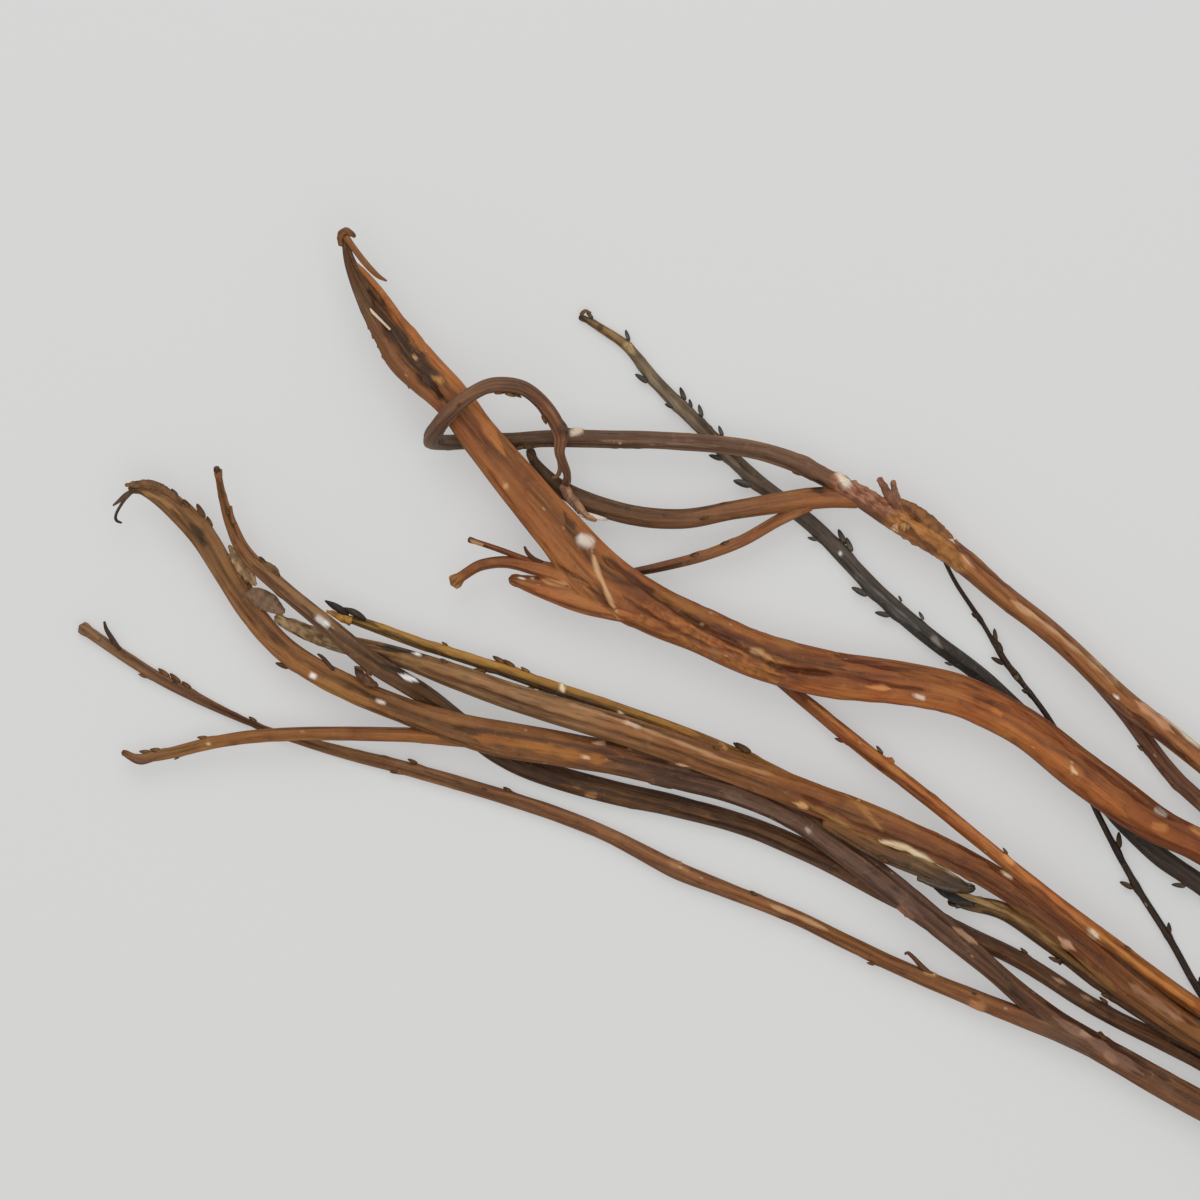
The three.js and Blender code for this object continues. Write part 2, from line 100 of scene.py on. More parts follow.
BRANCHES = {
    "broad_russet_stem": {
        "paths": [
            [
                (-127, 181, 27, 3, 3), (-123.5, 166, 27, 6, 4), (-115, 149, 27, 11, 6),
                (-103, 132, 27, 18, 8), (-94, 119, 26.5, 20.5, 9.5), (-74, 99, 26, 17.5, 10),
                (-59, 79.5, 25.5, 18.5, 10.5), (-41, 57.5, 24, 21, 11), (-21.5, 35, 22, 23, 12),
                (0, 11, 20, 27, 12.5), (25, -4, 18.5, 24, 13), (50, -15, 18, 22, 13),
                (80, -28, 18, 22, 13), (115, -37, 18, 22.5, 13), (150, -41.5, 18, 21.5, 13),
                (180, -48, 18, 21, 13), (210, -63, 18, 20.5, 13), (235, -82, 18, 22, 13),
                (260, -100.5, 18, 21.5, 13), (278, -112.5, 18.5, 19, 13), (300, -123.5, 20, 17, 13),
                (350, -153, 24.5, 19, 13),
            ],
            [
                (-44.5, 10.5, 17, 4, 4), (-37, 8.5, 17, 8, 7), (-23, 4.5, 17.5, 12, 10),
                (-5, 0, 18, 15, 11), (18, -5, 18.5, 14, 11), (38, -10, 18.5, 10, 9),
            ],
            [
                (-73, 8.5, 15, 6.5, 5), (-67, 13, 17, 6, 5), (-59, 17.5, 19, 6.5, 5.5),
                (-47, 19, 20, 7, 6), (-33, 16.5, 20, 9, 7), (-15, 11, 19.5, 12, 9), (8, 4, 19, 13, 9),
            ],
            [
                (-65, 30, 26, 2.6, 2.6), (-50, 25, 24, 2.8, 2.8), (-35, 19.5, 22, 3, 3),
                (-22, 15, 20, 3.4, 3.4),
            ],
        ],
        "butt": ((14, 33), (0, 15.5), 21, 13, 92),
        "slot": "russet_bark",
        "sides": 84,
        "ribs": 0.5,
        "tints": [
            [
                (0, "5a4430"), (2, "5e4430"), (3, "684832"), (4, "765338"), (5, "845636"), (9, "92603a"),
                (11, "6f421f"),
                (13, "7c4a24"), (15, "905c34"), (17, "905a32"), (19, "7c4620"), (22, "7e4a24"),
                (26, "80502c"),
            ],
            [(0, "7a4c2c"), (2, "a06c44"), (5, "96623a")],
            [(0, "a07850"), (1, "8a5c38"), (4, "8c5c38"), (6, "9a643c")],
            [(0, "5c3018"), (3, "7c4c2c")],
        ],
        "marks": [
            (5.2, -2.4, "38261a", 0.9, [(-114, 153), (-98, 129), (-87, 113.6), (-79, 100)]),
            (2.6, 0.5, "b4794a", 0.7, [(-107, 151), (-91, 130), (-76, 113), (-60, 92), (-47, 72)]),
            (3, 0.2, "6c4c30", 0.6, [(-116, 140), (-104, 116), (-88, 99)]),
            (1.3, 0.6, "cfa67a", 0.8, [(-92, 121), (-91, 120)]),
            (2, 1.0, "b48c5c", 0.8, [(-82, 110), (-79, 109)]),
            (1.2, 0.3, "d8b48c", 0.8, [(-47, 57), (-46.5, 56.5)]),
            (1, -0.6, "74441f", 0.5, [(-56, 66), (-40, 41), (-25, 24)]),
            (0.9, -0.5, "74441f", 0.5, [(-38, 53), (-20, 36), (-4, 16)]),
            (3, -1.3, "40321e", 0.8, [(-17, 43), (-12, 31)]),
            (2.6, 1.2, "dcd4ca", 0.9, [(-9, 30.5), (-5, 28)]),
            (1.2, 1.0, "cfaa84", 0.9, [(-4, 24), (-1, 14), (4, 2), (9, -9)]),
            (1.7, -2.0, "452612", 0.85, [(1, 22), (23, 6), (51, -14), (67, -22), (89, -34), (116, -37)]),
            (1, -1.1, "5a3018", 0.7, [(11, 2), (35, -14), (55, -24), (70, -27)]),
            (2.4, 0.5, "9a6c3c", 0.6, [(27, 4), (55, -9), (70, -15), (100, -24)]),
            (2.2, 0.6, "b98a62", 0.75, [(79, -26), (87, -31)]),
            (1.6, 0.5, "bf9a74", 0.8, [(76, -25), (80, -26)]),
            (1.8, 0.5, "96705a", 0.6, [(55, -25), (58, -27)]),
            (1, 0.3, "f0e8de", 0.9, [(-39.5, 11), (-38.8, 11)]),
            (0.8, 0.3, "e8dccc", 0.8, [(-33.6, 11), (-33, 11)]),
            (1.3, 0.4, "cfa27a", 0.8, [(-29, 10), (-15, 7.5)]),
            (0.8, -0.6, "7d4a28", 0.6, [(-39, 6), (-19, -2), (5, -10)]),
            (1.3, -1.5, "5a3218", 0.8, [(-21, 17), (-6, 7), (9, -8)]),
            (1.3, -1.4, "5c2f14", 0.75, [(88, -35), (119, -37), (144, -43), (162, -45)]),
            (1.5, -1.7, "58290f", 0.8,
             [(117, -27), (142, -33), (184, -43), (207, -53), (236, -75), (267, -98), (288, -110)]),
            (3, 0.4, "b87840", 0.5,
             [(90, -44), (127, -47), (173, -53), (207, -67), (236, -88), (262, -108)]),
            (1.6, 0.3, "a8683a", 0.5, [(120, -33), (160, -38), (200, -49), (240, -78)]),
            (1.3, 0.5, "cf9c6c", 0.85, [(132, -43), (144, -44)]),
            (1.5, 0.6, "e6d3c0", 0.9, [(157, -47.5), (160, -48.5)]),
            (1.5, 0.6, "c08850", 0.8, [(196, -55), (199, -57)]),
            (1.2, 0.8, "dcc09a", 0.9, [(234, -82), (235, -85), (238, -87)]),
            (1.6, 0.3, "b9aaa0", 0.8, [(277, -104), (281, -106)]),
            (2, 0.4, "b47c4a", 0.7, [(275, -112), (280, -113)]),
            (1.8, 0.4, "c29060", 0.7, [(294, -113), (298, -115)]),
        ],
        "roughs": [(5, 0.5, "7a4c28", "a26c3e", [(23, -6), (56, -22), (90, -36)])],
        "buds": [],
        "nubs": [
            (-117, 133, 2.6, "7a5836"), (-115.5, 128.5, 3, "8a6238"), (-113, 124, 2.4, "6a4c30"),
            (-110, 118, 2.6, "6c4e34"), (22, -15.5, 2.2, "8a5a3c"), (91, -18.5, 2, "7c4c2c"),
            (-97, 104, 2, "6a4c30"), (60, -32, 2, "8a5430"),
        ],
        "slivers": [
            ("6a4a2e",
             [(-128, 176, 27, 3.2, 2.4), (-128.6, 180.4, 28, 4, 2.6), (-126, 182.8, 28.6, 3.6, 2.4),
                        (-123, 181.6, 28.6, 2.6, 2), (-121.4, 180.2, 28.6, 1.4, 1.2)]),
            ("9a6a40",
             [(-123, 168.6, 27, 1.4, 1.4), (-116.6, 162, 27.4, 3, 2.2), (-108.4, 152.4, 27.6, 3.8, 3),
                        (-99.6, 140.4, 27.8, 3.8, 3.4), (-90.6, 127.4, 27.6, 3.8, 3.6),
                        (-83, 117, 26, 3, 3)]),
            ("7a5834",
             [(-105.8, 158.2, 28, 1, 0.8), (-110.5, 161, 28.5, 2.6, 1.6), (-116, 166.6, 29, 3.2, 1.8),
                        (-121, 173, 29, 3.2, 2), (-126, 180, 28.5, 3.4, 2.2)]),
            ("d8c8b0",
             [(-121.6, 152, 27.6, 0.8, 0.8), (-114, 144, 29.4, 1.5, 1.2), (-104, 134, 30, 1.2, 1)]),
            ("4c2c18", [(-37.5, 26.5, 24, 1.2, 1.2), (-36, 23.5, 24, 2, 1.8), (-33, 20.5, 23, 2.4, 2.2),
                        (-29, 18.5, 21.5, 2.6, 2.4)]),
            ("b08a64",
             [(-64.5, 29.8, 26.4, 1.6, 1.6), (-62, 28.8, 26.2, 2.2, 2.2), (-58, 27.6, 25.4, 2.4, 2.4)]),
            ("8a5c3c", [(-30, 12.6, 20.5, 1.6, 1.4), (-24, 12.4, 22, 3, 2), (-14, 10.5, 23, 3.6, 2.4),
                        (-4, 7, 23.5, 2.8, 2)]),
        ],
    },
    "looped_mauve_stem": {
        "paths": [
            [
                (-17, 57, 20, 3.5, 3.5), (-16.5, 63, 21.5, 4, 4), (-20, 73, 25, 5, 5),
                (-19.5, 82.5, 28, 7, 6.5), (-26.5, 95, 33, 7.5, 7), (-37.5, 104.5, 37, 7.8, 7.2),
                (-51.5, 106.5, 38.5, 7.8, 7.2), (-63, 102, 38.5, 8, 7), (-73, 94, 37.5, 8.5, 7),
                (-80, 86, 32, 9, 7.5), (-83.5, 80, 23, 9.5, 8), (-78, 78.5, 14, 9, 7.5),
                (-64, 79, 12, 8, 7.5), (-45, 79.5, 12.5, 7.5, 7.5), (-20, 80.5, 14, 8, 8),
                (10, 80, 15, 8.2, 8), (40, 79, 15, 8.5, 8), (70, 76, 16, 9, 8),
                (92, 70.5, 16.5, 10, 8.5), (110, 62, 16.5, 12, 9), (130, 51, 16, 14, 10),
                (150, 39, 15.5, 19, 12), (170, 27.5, 15, 20, 12.5), (185, 16, 14, 15, 11.5),
                (200, 3, 14, 14, 11), (230, -21, 14, 15.5, 11), (262, -51, 15.5, 15, 11),
                (300, -81, 17.5, 14, 11), (350, -127, 20, 14, 11),
            ],
            [
                (-35, 75, 13, 2.5, 2.5), (-32, 68, 12.5, 5, 4.5), (-22, 57.5, 11, 8, 6),
                (-8, 49.5, 10.5, 10, 7), (15, 42.5, 11.5, 10.5, 7.5), (40, 40.5, 13.5, 10.5, 7.5),
                (65, 44.5, 15, 10, 7.5), (90, 48.5, 16, 11, 8), (110, 51, 16, 11.5, 9),
                (128, 50, 16, 9, 8),
            ],
            [
                (12, 13, 7, 3.6, 3.6), (30, 16.5, 8, 4.6, 4.6), (50, 21.5, 10, 5.2, 5),
                (70, 29, 12, 5.8, 5.5), (88, 39, 14, 6, 6), (104, 47.5, 15.5, 7, 6.5),
            ],
        ],
        "butt": ((38, 26), (14.5, 4.4), 15, 11, 78),
        "slot": "mauve_bark",
        "sides": 60,
        "ribs": 0.35,
        "tints": [
            [
                (0, "6c4c3a"), (3, "8c6048"), (5, "6e4e3c"), (7, "7c5a46"), (9, "6a5040"), (11, "74624e"),
                (12, "5a4232"), (14, "5c4434"), (17, "745644"), (19, "7a5c48"), (20, "74503a"),
                (21, "80523a"),
                (23, "94623c"), (25, "8e5e3a"), (28, "9a6a46"), (30, "946648"), (33, "8a6044"),
            ],
            [(0, "3c2c1e"), (2, "54402a"), (4, "644630"), (6, "805a3e"), (8, "96643e"), (9, "8c5c3c")],
            [(0, "5c3622"), (2, "84583a"), (5, "966640")],
        ],
        "marks": [
            (3, 0.9, "46322a", 0.75, [(-19, 86), (-16, 84)]),
            (1.6, 1.0, "dcc8ac", 0.9, [(-14, 82.5), (-10.5, 84.5)]),
            (0.9, -0.4, "54403a", 0.5, [(-6, 82), (20, 82), (50, 80.5), (75, 77)]),
            (0.8, 0.3, "9a7a66", 0.5, [(0, 79), (30, 78), (60, 76)]),
            (3, 1.0, "bb8460", 0.8, [(-17, 55), (-12, 47), (-7, 43)]),
            (2.6, -0.8, "3a2a20", 0.85, [(107, 57), (110, 54.5)]),
            (2, 1.3, "eadccb", 0.95, [(118.4, 62), (122, 57.6)]),
            (1, -1.1, "5e3620", 0.75, [(111, 67), (132, 59), (152, 48), (173, 35), (188, 19), (203, 7)]),
            (1.6, -0.9, "5c3a22", 0.7, [(149, 40), (158, 30), (168, 22)]),
            (1.7, 1.0, "f2e8dc", 0.95, [(174.5, 31), (176.5, 30)]),
            (1.7, 0.7, "dcac8c", 0.9, [(179, 24), (187, 15)]),
            (1.2, -0.7, "6a3e24", 0.7, [(176, 28), (190, 13), (206, -2)]),
            # painted shade: a dark band along the stem's lower side, where it lies in shadow
            (2.6, -0.4, "5e3a28", 0.65, [(173, 16), (198, -6), (223, -28), (248, -48), (267, -66)]),
            (1.7, 0.9, "cba582", 0.8, [(204, 0), (223, -13), (244, -30), (258, -43)]),
            (1.2, -0.8, "6c4226", 0.7, [(208, 0.5), (230, -17), (252, -37), (262, -48)]),
            (1.1, 0.5, "f4ece4", 0.95, [(256, -48), (257, -48.6)]),
            (2.2, 0.7, "d4a486", 0.75, [(266, -50), (275, -57), (285, -66)]),
            (0.9, 0.6, "e0cdb4", 0.85, [(277, -55), (289, -65), (299, -74)]),
            (2, -0.9, "54281a", 0.7, [(262, -55), (275, -66), (292, -82)]),
        ],
        "roughs": [
            (7, 1.1, "744636", "ac7c66", [(123, 60), (134, 55), (148, 48)]),
            (7.5, 0.6, "94643a", "b98a58", [(150, 35), (162, 27.5), (174, 19.5)]),
        ],
        "buds": [
            (-52, 102.4, 4.5), (-47.5, 102, 5), (-43, 101, 4), (-29.5, 90.5, 4.5), (-41, 75.4, 3.6),
            (-37, 77, 4),
            (-35, 74.5, 5.5), (-34, 70, 4.5), (55, 41.5, 4), (49, 22.8, 4), (65, 29.2, 4), (102, 71.5, 4.5),
            (104, 68, 4.5), (8, 76.4, 2.6), (19, 76, 2.4), (44, 83.6, 2.2), (-72, 96.4, 2.5),
        ],
        "nubs": [
            (-18.5, 86, 5, "584034"), (-9, 84, 3, "8a6e58"), (139.5, 58.5, 4.2, "7c4c34"),
            (144.5, 55.8, 3.6, "80503a"),
            (126, 57, 3.6, "a88066"), (132, 54, 3.6, "8c6248"), (145, 32.4, 3.6, "c4a07c"),
            (147, 28.5, 3, "a07a58"),
            (119.5, 59.5, 3.6, "e2d2c0"), (204.5, 8.5, 2.6, "7a5440"), (264, -41.5, 2.4, "7c5a48"),
            (145, 34, 4.4, "c8b08c"), (147.4, 29.4, 4, "b08c5c"), (175.6, 30.6, 3.6, "efe5da"),
            (1.5, 40.5, 3, "e4ddd4"), (6.5, 76, 2, "8c7260"), (10, 76.2, 1.8, "a08876"),
            (62, 80.6, 2, "6c5040"),
        ],
        "slivers": [
            ("7a5844", [(-24, 60.5, 17, 1.6, 1.6), (-21, 62, 18.5, 2.2, 2), (-19.8, 66, 21, 2.4, 2.2),
                        (-20.6, 72, 24.5, 2.6, 2.4)]),
            ("9a7860",
             [(-2, 39.5, 16, 2, 1.6), (-8, 43, 16.5, 4, 3), (-14, 50, 17.5, 5.4, 4),
              (-18.5, 57, 19.5, 4, 4)]),
            ("7c5444", [(138.8, 60.4, 19.5, 3.2, 2.6), (140.6, 57.4, 20, 3.6, 3), (143.4, 52.4, 20, 4.6, 4),
                        (148, 45.6, 19, 6, 5)]),
            ("8a6450", [(145.8, 59.2, 19.5, 2.6, 2.2), (146, 55.6, 20, 3.2, 3), (147.4, 50, 19.6, 4.4, 4),
                        (150, 44.6, 18.6, 5, 4)]),
            ("7e5838",
             [(147, 50.4, 19, 2, 2), (153.4, 46, 20, 6, 4), (162, 39.4, 20.4, 8, 5),
              (170, 32.6, 19.6, 7, 4.4),
                        (178, 26.4, 18.6, 3, 3)]),
            ("d8ccc0", [(2.5, 40.4, 15, 1.6, 1), (-3, 41.4, 16, 3, 1.4), (-10, 43, 17, 3.4, 1.6)]),
        ],
    },
    "brown_side_stem": {
        "paths": [
            [
                (233, -24, 4.5, 4, 4), (246, -38, 4.5, 6.5, 5.5), (263, -57.5, 5.5, 7.5, 6.5),
                (282, -83, 6.5, 8, 7), (300, -101, 8, 8, 7), (350, -145, 10.5, 8.6, 7.4),
            ],
        ],
        "butt": ((32, 13.5), (17.6, -7.2), 10, 8, 60),
        "slot": "brown_bark",
        "sides": 44,
        "ribs": 0.3,
        "tints": [[(0, "6a4832"), (2, "6a4632"), (4, "74503c"), (8, "6a4634")]],
        "marks": [(1.2, -0.5, "3a2218", 0.6, [(250, -52), (282, -86), (299, -103)])],
        "buds": [(271, -76.5, 3.6), (287, -93, 4), (312, -116, 4)],
        "nubs": [],
        "slivers": [],
    },
    "slate_budded_stem": {
        "paths": [
            [
                (-10, 141.5, 2.6, 2.6, 2.6), (0, 136, 2.6, 4.5, 4), (14, 126, 2.8, 5.5, 5),
                (30, 107, 3.2, 7, 6.4), (52, 85, 3.5, 7.6, 7), (78, 60, 3.7, 8.4, 7.4),
                (108, 36, 3.8, 8.6, 7.6), (139, 3.5, 3.9, 9, 7.8), (168, -21, 3.8, 9, 7.6),
                (194, -41, 3.6, 8.6, 7.2), (235, -82, 3.5, 9, 7), (272, -121, 4.2, 9.5, 8),
                (300, -142, 6, 10, 9), (350, -177, 7.5, 10.4, 9.2),
            ],
        ],
        "butt": ((12, 8), (9.4, -17.6), 11, 9.5, 84),
        "slot": "slate_bark",
        "sides": 44,
        "ribs": 0.3,
        "tints": [
            [
                (0, "4a3a2a"), (1.5, "a08058"), (2.4, "7c6a53"), (4, "705c48"), (5.4, "5c4c40"),
                (6.6, "5a4e44"),
                (7.3, "443e36"), (8.4, "352f29"), (9, "38322c"), (10.5, "3a302a"), (12, "44362c"),
                (18, "4a3a2e"),
            ]
        ],
        "marks": [
            (1.6, 0.5, "c8b084", 0.8, [(13, 127), (16, 124)]),
            (1, -0.5, "4c4236", 0.6, [(26, 112), (52, 87), (76, 62)]),
            (1.2, 0.3, "97866e", 0.6, [(22, 114), (44, 90), (70, 66)]),
            (0.9, 0.3, "e8e8e6", 0.95, [(119.6, 23.4), (120.4, 23)]),
            (1.4, 0.3, "8a8078", 0.6, [(126, 14), (150, -8), (160, -16)]),
            (2, 0.5, "8c847a", 0.8, [(167, -20), (169, -23)]),
            (1.2, -0.5, "262420", 0.6, [(118, 22), (140, 0), (166, -22), (190, -40)]),
        ],
        "bud_lean": (8, 26),
        "bud_shades": (("24201c", "2c2822", "1e1a18"), ("6a645a", "7c766a")),
        "buds": [
            (-3, 141.5, 4.6), (16, 130, 5), (22, 107.5, 6.4), (43, 100, 6), (46, 95.5, 4), (52.5, 92, 5.5),
            (37, 95.5, 4), (62.5, 82.6, 5), (60.5, 70.5, 6), (75, 57.6, 8), (88, 51, 4), (123.5, 29.5, 7),
            (128, 26, 6.5), (133, 2, 7.5), (145, -8.5, 6.5), (152, 0.5, 3), (162.5, -8.5, 4),
            (290, -146, 6),
            (108, 30.5, 4.4), (176, -33, 3.6), (255, -97, 5), (330, -176, 5), (360, -190, 5),
        ],
        "nubs": [(14.5, 127, 4, "b89a6c"), (0, 136.5, 3, "5a4430")],
        "slivers": [
            ("6a4c30",
             [(-4.5, 143.4, 3.6, 1, 1), (-7.5, 144.4, 3.4, 1.8, 1.4), (-9.5, 142.4, 3, 2.2, 1.8)]),
        ],
    },
    "dark_thin_twig": {
        "paths": [
            [
                (170, 24, 4.2, 2, 2), (178, 8, 4, 2.2, 2.2), (190, -10, 3.5, 2.4, 2.4),
                (202, -30, 4.5, 2.6, 2.6), (223, -58, 8.2, 2.8, 2.8), (238.5, -86, 9.2, 3, 3),
                (251, -112, 7, 3.2, 3.2), (268, -143, 3, 3.4, 3.4), (285, -170, 2, 3.5, 3.5),
                (301, -198, 2.2, 3.6, 3.6), (323, -225, 2.4, 3.8, 3.8), (380, -256, 2.8, 4.2, 4.2),
            ],
        ],
        "butt": ((-19, 3.5), (-9.2, -15.8), 4.5, 4.5, 66),
        "slot": "dark_bark",
        "sides": 20,
        "ribs": 0.12,
        "tints": [[(0, "33241a"), (6, "2e2219"), (12, "3c2c20"), (16, "44321f")]],
        "marks": [],
        "bud_lean": (12, 28),
        "bud_shades": (("2c2018", "3a2a1e"), ("5a442e", "6a5038")),
        "buds": [
            (189, -9.5, 4), (199, -20, 5.5), (200.4, -26, 5), (201.4, -32.5, 6), (207.5, -37.5, 6),
            (261, -123, 7),
            (266, -144, 6.5), (284.5, -166.5, 5), (236, -79, 4), (214, -47, 3.6), (300, -192, 4),
        ],
        "nubs": [(198.6, -21, 3.4, "40302a"), (208, -38.5, 3, "6a5c48")],
        "slivers": [],
    },
    "slim_orange_stem": {
        "paths": [
            [
                (86, -38, 6, 4.5, 4), (100, -48.5, 6.5, 6.5, 6), (120, -65, 8, 7.2, 6.6),
                (140, -81, 10, 7.4, 6.8), (164.5, -100, 14, 7.2, 6.8), (189, -120, 20.5, 7, 6.8),
                (227, -150.5, 27, 7.2, 7), (267, -180.5, 26.5, 7.6, 7.2), (300, -204, 26, 8, 7.4),
                (345, -231, 26, 8.4, 7.6),
            ],
        ],
        "butt": ((-8.5, 26), (6.6, -8.2), 9, 8, 90),
        "slot": "orange_bark",
        "sides": 40,
        "ribs": 0.25,
        "tints": [[(0, "6a3a20"), (1.4, "84502c"), (4, "925c32"), (6, "9a643a"), (8, "98622e"),
         (12, "8c5a2e")]],
        "marks": [
            (1.3, 0.4, "c98a50", 0.5,
             [(104, -50), (140, -79), (188, -117), (240, -160), (268, -182), (296, -202)]),
            (1.5, 0.7, "edd9bc", 0.95, [(243, -164.5), (246, -167)]),
            (1.2, 0.5, "d2a070", 0.8, [(201, -127.5), (204, -130)]),
            (0.9, -0.5, "5c3214", 0.7, [(212, -140), (240, -163), (268, -186), (296, -206)]),
            (1.6, 0.5, "5e3a22", 0.8, [(88, -40), (92, -44)]),
        ],
        "buds": [(143, -75.5, 4.5), (121, -71.5, 4), (202.5, -125.5, 3.4), (262, -173.5, 3.4)],
        "nubs": [(145, -78.5, 4.4, "a06a38"), (88, -38, 3, "6c4226"), (91, -42, 3, "704628"),
         (86, -35.6, 2.2, "80583a")],
        "slivers": [],
    },
    "fanned_purple_stem": {
        "paths": [
            [
                (-234, 55.5, 17, 3, 3), (-225, 54.5, 17, 7, 4.5), (-212, 46.5, 16.5, 11, 6),
                (-197, 31, 15.5, 12.5, 7), (-185, 11, 14.5, 11.5, 7.5), (-172, -8, 14, 12, 8),
                (-155, -26, 14, 12, 8), (-130, -41, 14.5, 12.5, 8), (-100, -54, 16, 13, 8),
                (-75, -62.5, 17.5, 15, 8.2), (-50, -69, 17.5, 18, 8.4), (-20, -74, 16, 17.5, 8.6),
                (10, -79.5, 15, 16.5, 8.6), (40, -87, 15, 15.5, 8.6), (70, -95.5, 15, 15, 8.6),
                (100, -109, 15, 15, 8.6), (125, -127, 15, 14.5, 8.6), (150, -146.5, 14.8, 13.5, 8.6),
                (175, -167, 14.5, 11.5, 8.6), (200, -188, 13, 10, 8.6), (225, -208.5, 11.5, 12, 9),
                (250, -223.5, 11, 12.5, 9.5), (300, -252, 12, 14, 10.5), (350, -277, 15.5, 14.4, 10.8),
            ],
            [
                (-238, -76, 9, 2.5, 2.5), (-229, -78.8, 9, 4, 3.4), (-213, -76, 9.5, 5.4, 4.6),
                (-190, -70.5, 11, 6, 5.4), (-165, -67.3, 12.5, 7, 6), (-130, -66.5, 13.2, 7.6, 6.4),
                (-95, -67.3, 13.8, 8, 6.8), (-68, -69, 15, 9, 7.2), (-45, -71, 16, 9, 7.2),
            ],
            [
                (-259, -13.5, 2.7, 5.4, 5), (-245, -23, 2.6, 5.2, 4.8), (-222, -38, 2.5, 5.4, 5),
                (-200, -49.5, 2.4, 5.2, 4.6), (-178, -60, 2.2, 3.4, 3.2), (-160, -67, 2.4, 4, 3.6),
                (-130, -75.5, 2.8, 6.2, 5.4), (-95, -84.5, 3.2, 7, 6.2), (-55, -96, 3.4, 7.6, 6.8),
                (-20, -107.5, 3.5, 8, 7), (5, -117.5, 3.5, 8, 7), (38, -134.5, 4.2, 9.6, 8),
                (65, -145.5, 4.1, 8.4, 7.6), (100, -159.5, 4.6, 8, 7.6), (140, -179, 6, 8.4, 7.8),
                (175, -194, 7.5, 9, 8), (205, -206, 9.5, 9.5, 8.4), (230, -216, 11, 10, 8.4),
                (250, -226, 11, 9, 8), (272, -238.5, 11.5, 5, 6),
            ],
        ],
        "butt": ((-44, 23), (-15.6, 3.6), 15, 11, 70),
        "slot": "purple_bark",
        "sides": 64,
        "ribs": 0.5,
        "tints": [
            [
                (0, "5c4630"), (1, "76583a"), (2.4, "80603e"), (4, "8a6644"), (6, "906440"), (7, "8c6236"),
                (8, "7c5836"), (9, "7a5432"), (10, "74502c"), (11, "7c5230"), (13, "54382a"),
                (15, "604232"),
                (17, "5e4438"), (20, "64442f"), (22, "6e4c34"), (25, "70503c"),
            ],
            [(0, "6c4a36"), (1, "80603e"), (3, "8c6438"), (5, "92623a"), (8, "96643a")],
            [
                (0, "84664c"), (2, "806046"), (4, "66432c"), (6, "84603e"), (9, "7e573c"), (12, "8a6040"),
                (14, "84582e"), (16, "80563a"), (17, "6e5040"), (19, "604438"),
            ],
        ],
        "marks": [
            (1.6, -1, "3c2a1c", 0.8, [(-205, 39), (-200, 33), (-197, 28)]),
            (2.2, 0.6, "46362a", 0.7, [(-202, 36), (-199, 33.5)]),
            (1.8, -0.8, "34261c", 0.8, [(-199, 30), (-197, 28)]),
            (1.2, 0.5, "b08a5c", 0.6, [(-228, 54), (-218, 50), (-209, 43)]),
            (1, -0.6, "5a3c22", 0.6, [(-214, 46), (-198, 26), (-186, 6), (-172, -12), (-154, -30)]),
            (3, 0.3, "b8987a", 0.6, [(-181, 21), (-176, 13), (-170, 5)]),
            (3, 0.3, "a47a4c", 0.5, [(-178, -8), (-160, -27), (-138, -42), (-110, -54)]),
            (1.3, 0.5, "f2eee8", 0.95, [(-143.6, -37.2), (-142.6, -37.6)]),
            (1.3, 0.5, "e8dcd0", 0.95, [(-109.8, -50.4), (-107.8, -51)]),
            (1, 0.4, "e4ccaa", 0.9, [(-147.6, -63), (-147.4, -68)]),
            (1, 0.4, "e4ccaa", 0.9, [(-195.6, -70), (-195.2, -74)]),
            (2.6, 0.4, "b47a38", 0.6, [(-64, -68), (-40, -71), (-14, -77), (6, -80)]),
            (1.2, -1, "4c2e1a", 0.75, [(-72, -63), (-52, -66), (-20, -71), (10, -77)]),
            (1.1, 0.4, "dcb88c", 0.85, [(-35.5, -81.5), (-34, -82)]),
            (1, 0.4, "e4ccaa", 0.85, [(-8, -78), (-6, -78.4)]),
            (1.1, 0.5, "e0c0a0", 0.9, [(-2.5, -71.2), (1.5, -71)]),
            (2.6, 0.3, "a48468", 0.6, [(36, -80.5), (44, -82)]),
            (2.4, 0.6, "4a3426", 0.7, [(26, -91), (34, -93)]),
            (1.2, 0.6, "f0e6dc", 0.95, [(102.6, -113.6), (104, -115)]),
            (1, -0.9, "3e2a20", 0.7,
             [(30, -83), (70, -92), (104, -108), (140, -134), (172, -160), (205, -190)]),
            (2, 0.3, "7a5e50", 0.6, [(60, -95), (98, -111), (130, -133), (160, -157)]),
            (2, 0.5, "96705e", 0.75, [(150, -154), (155, -158)]),
            (1.4, 0.5, "b89478", 0.8, [(176, -163), (187, -171)]),
            (2.2, 0.4, "ae8060", 0.6, [(37, -131), (43, -134)]),
            (1.4, 0.3, "cba27c", 0.7, [(84, -152), (100, -158), (114, -165)]),
            (1.8, 0.6, "dcb084", 0.85, [(163, -184.4), (167, -186)]),
            (2.4, 0.5, "bb8660", 0.7, [(185, -201), (190, -203)]),
            (1.7, 0.5, "cdac88", 0.8, [(240.6, -215.6), (243, -217)]),
            (2, 0.4, "a88268", 0.7, [(252, -226), (256, -229)]),
            (1.4, -1.2, "382018", 0.8, [(221, -200), (240, -212), (258, -223), (285, -240)]),
            (2.4, 0.4, "9a786a", 0.5, [(226, -208), (246, -220), (270, -236)]),
            (1, -0.5, "5c3c26", 0.6, [(-222, -37), (-200, -49), (-180, -59)]),
            (1, -0.5, "5e3c26", 0.6, [(-150, -70), (-95, -86), (-40, -101), (0, -116)]),
            (1, -0.5, "6a4224", 0.6, [(60, -144), (110, -165), (150, -184), (190, -200)]),
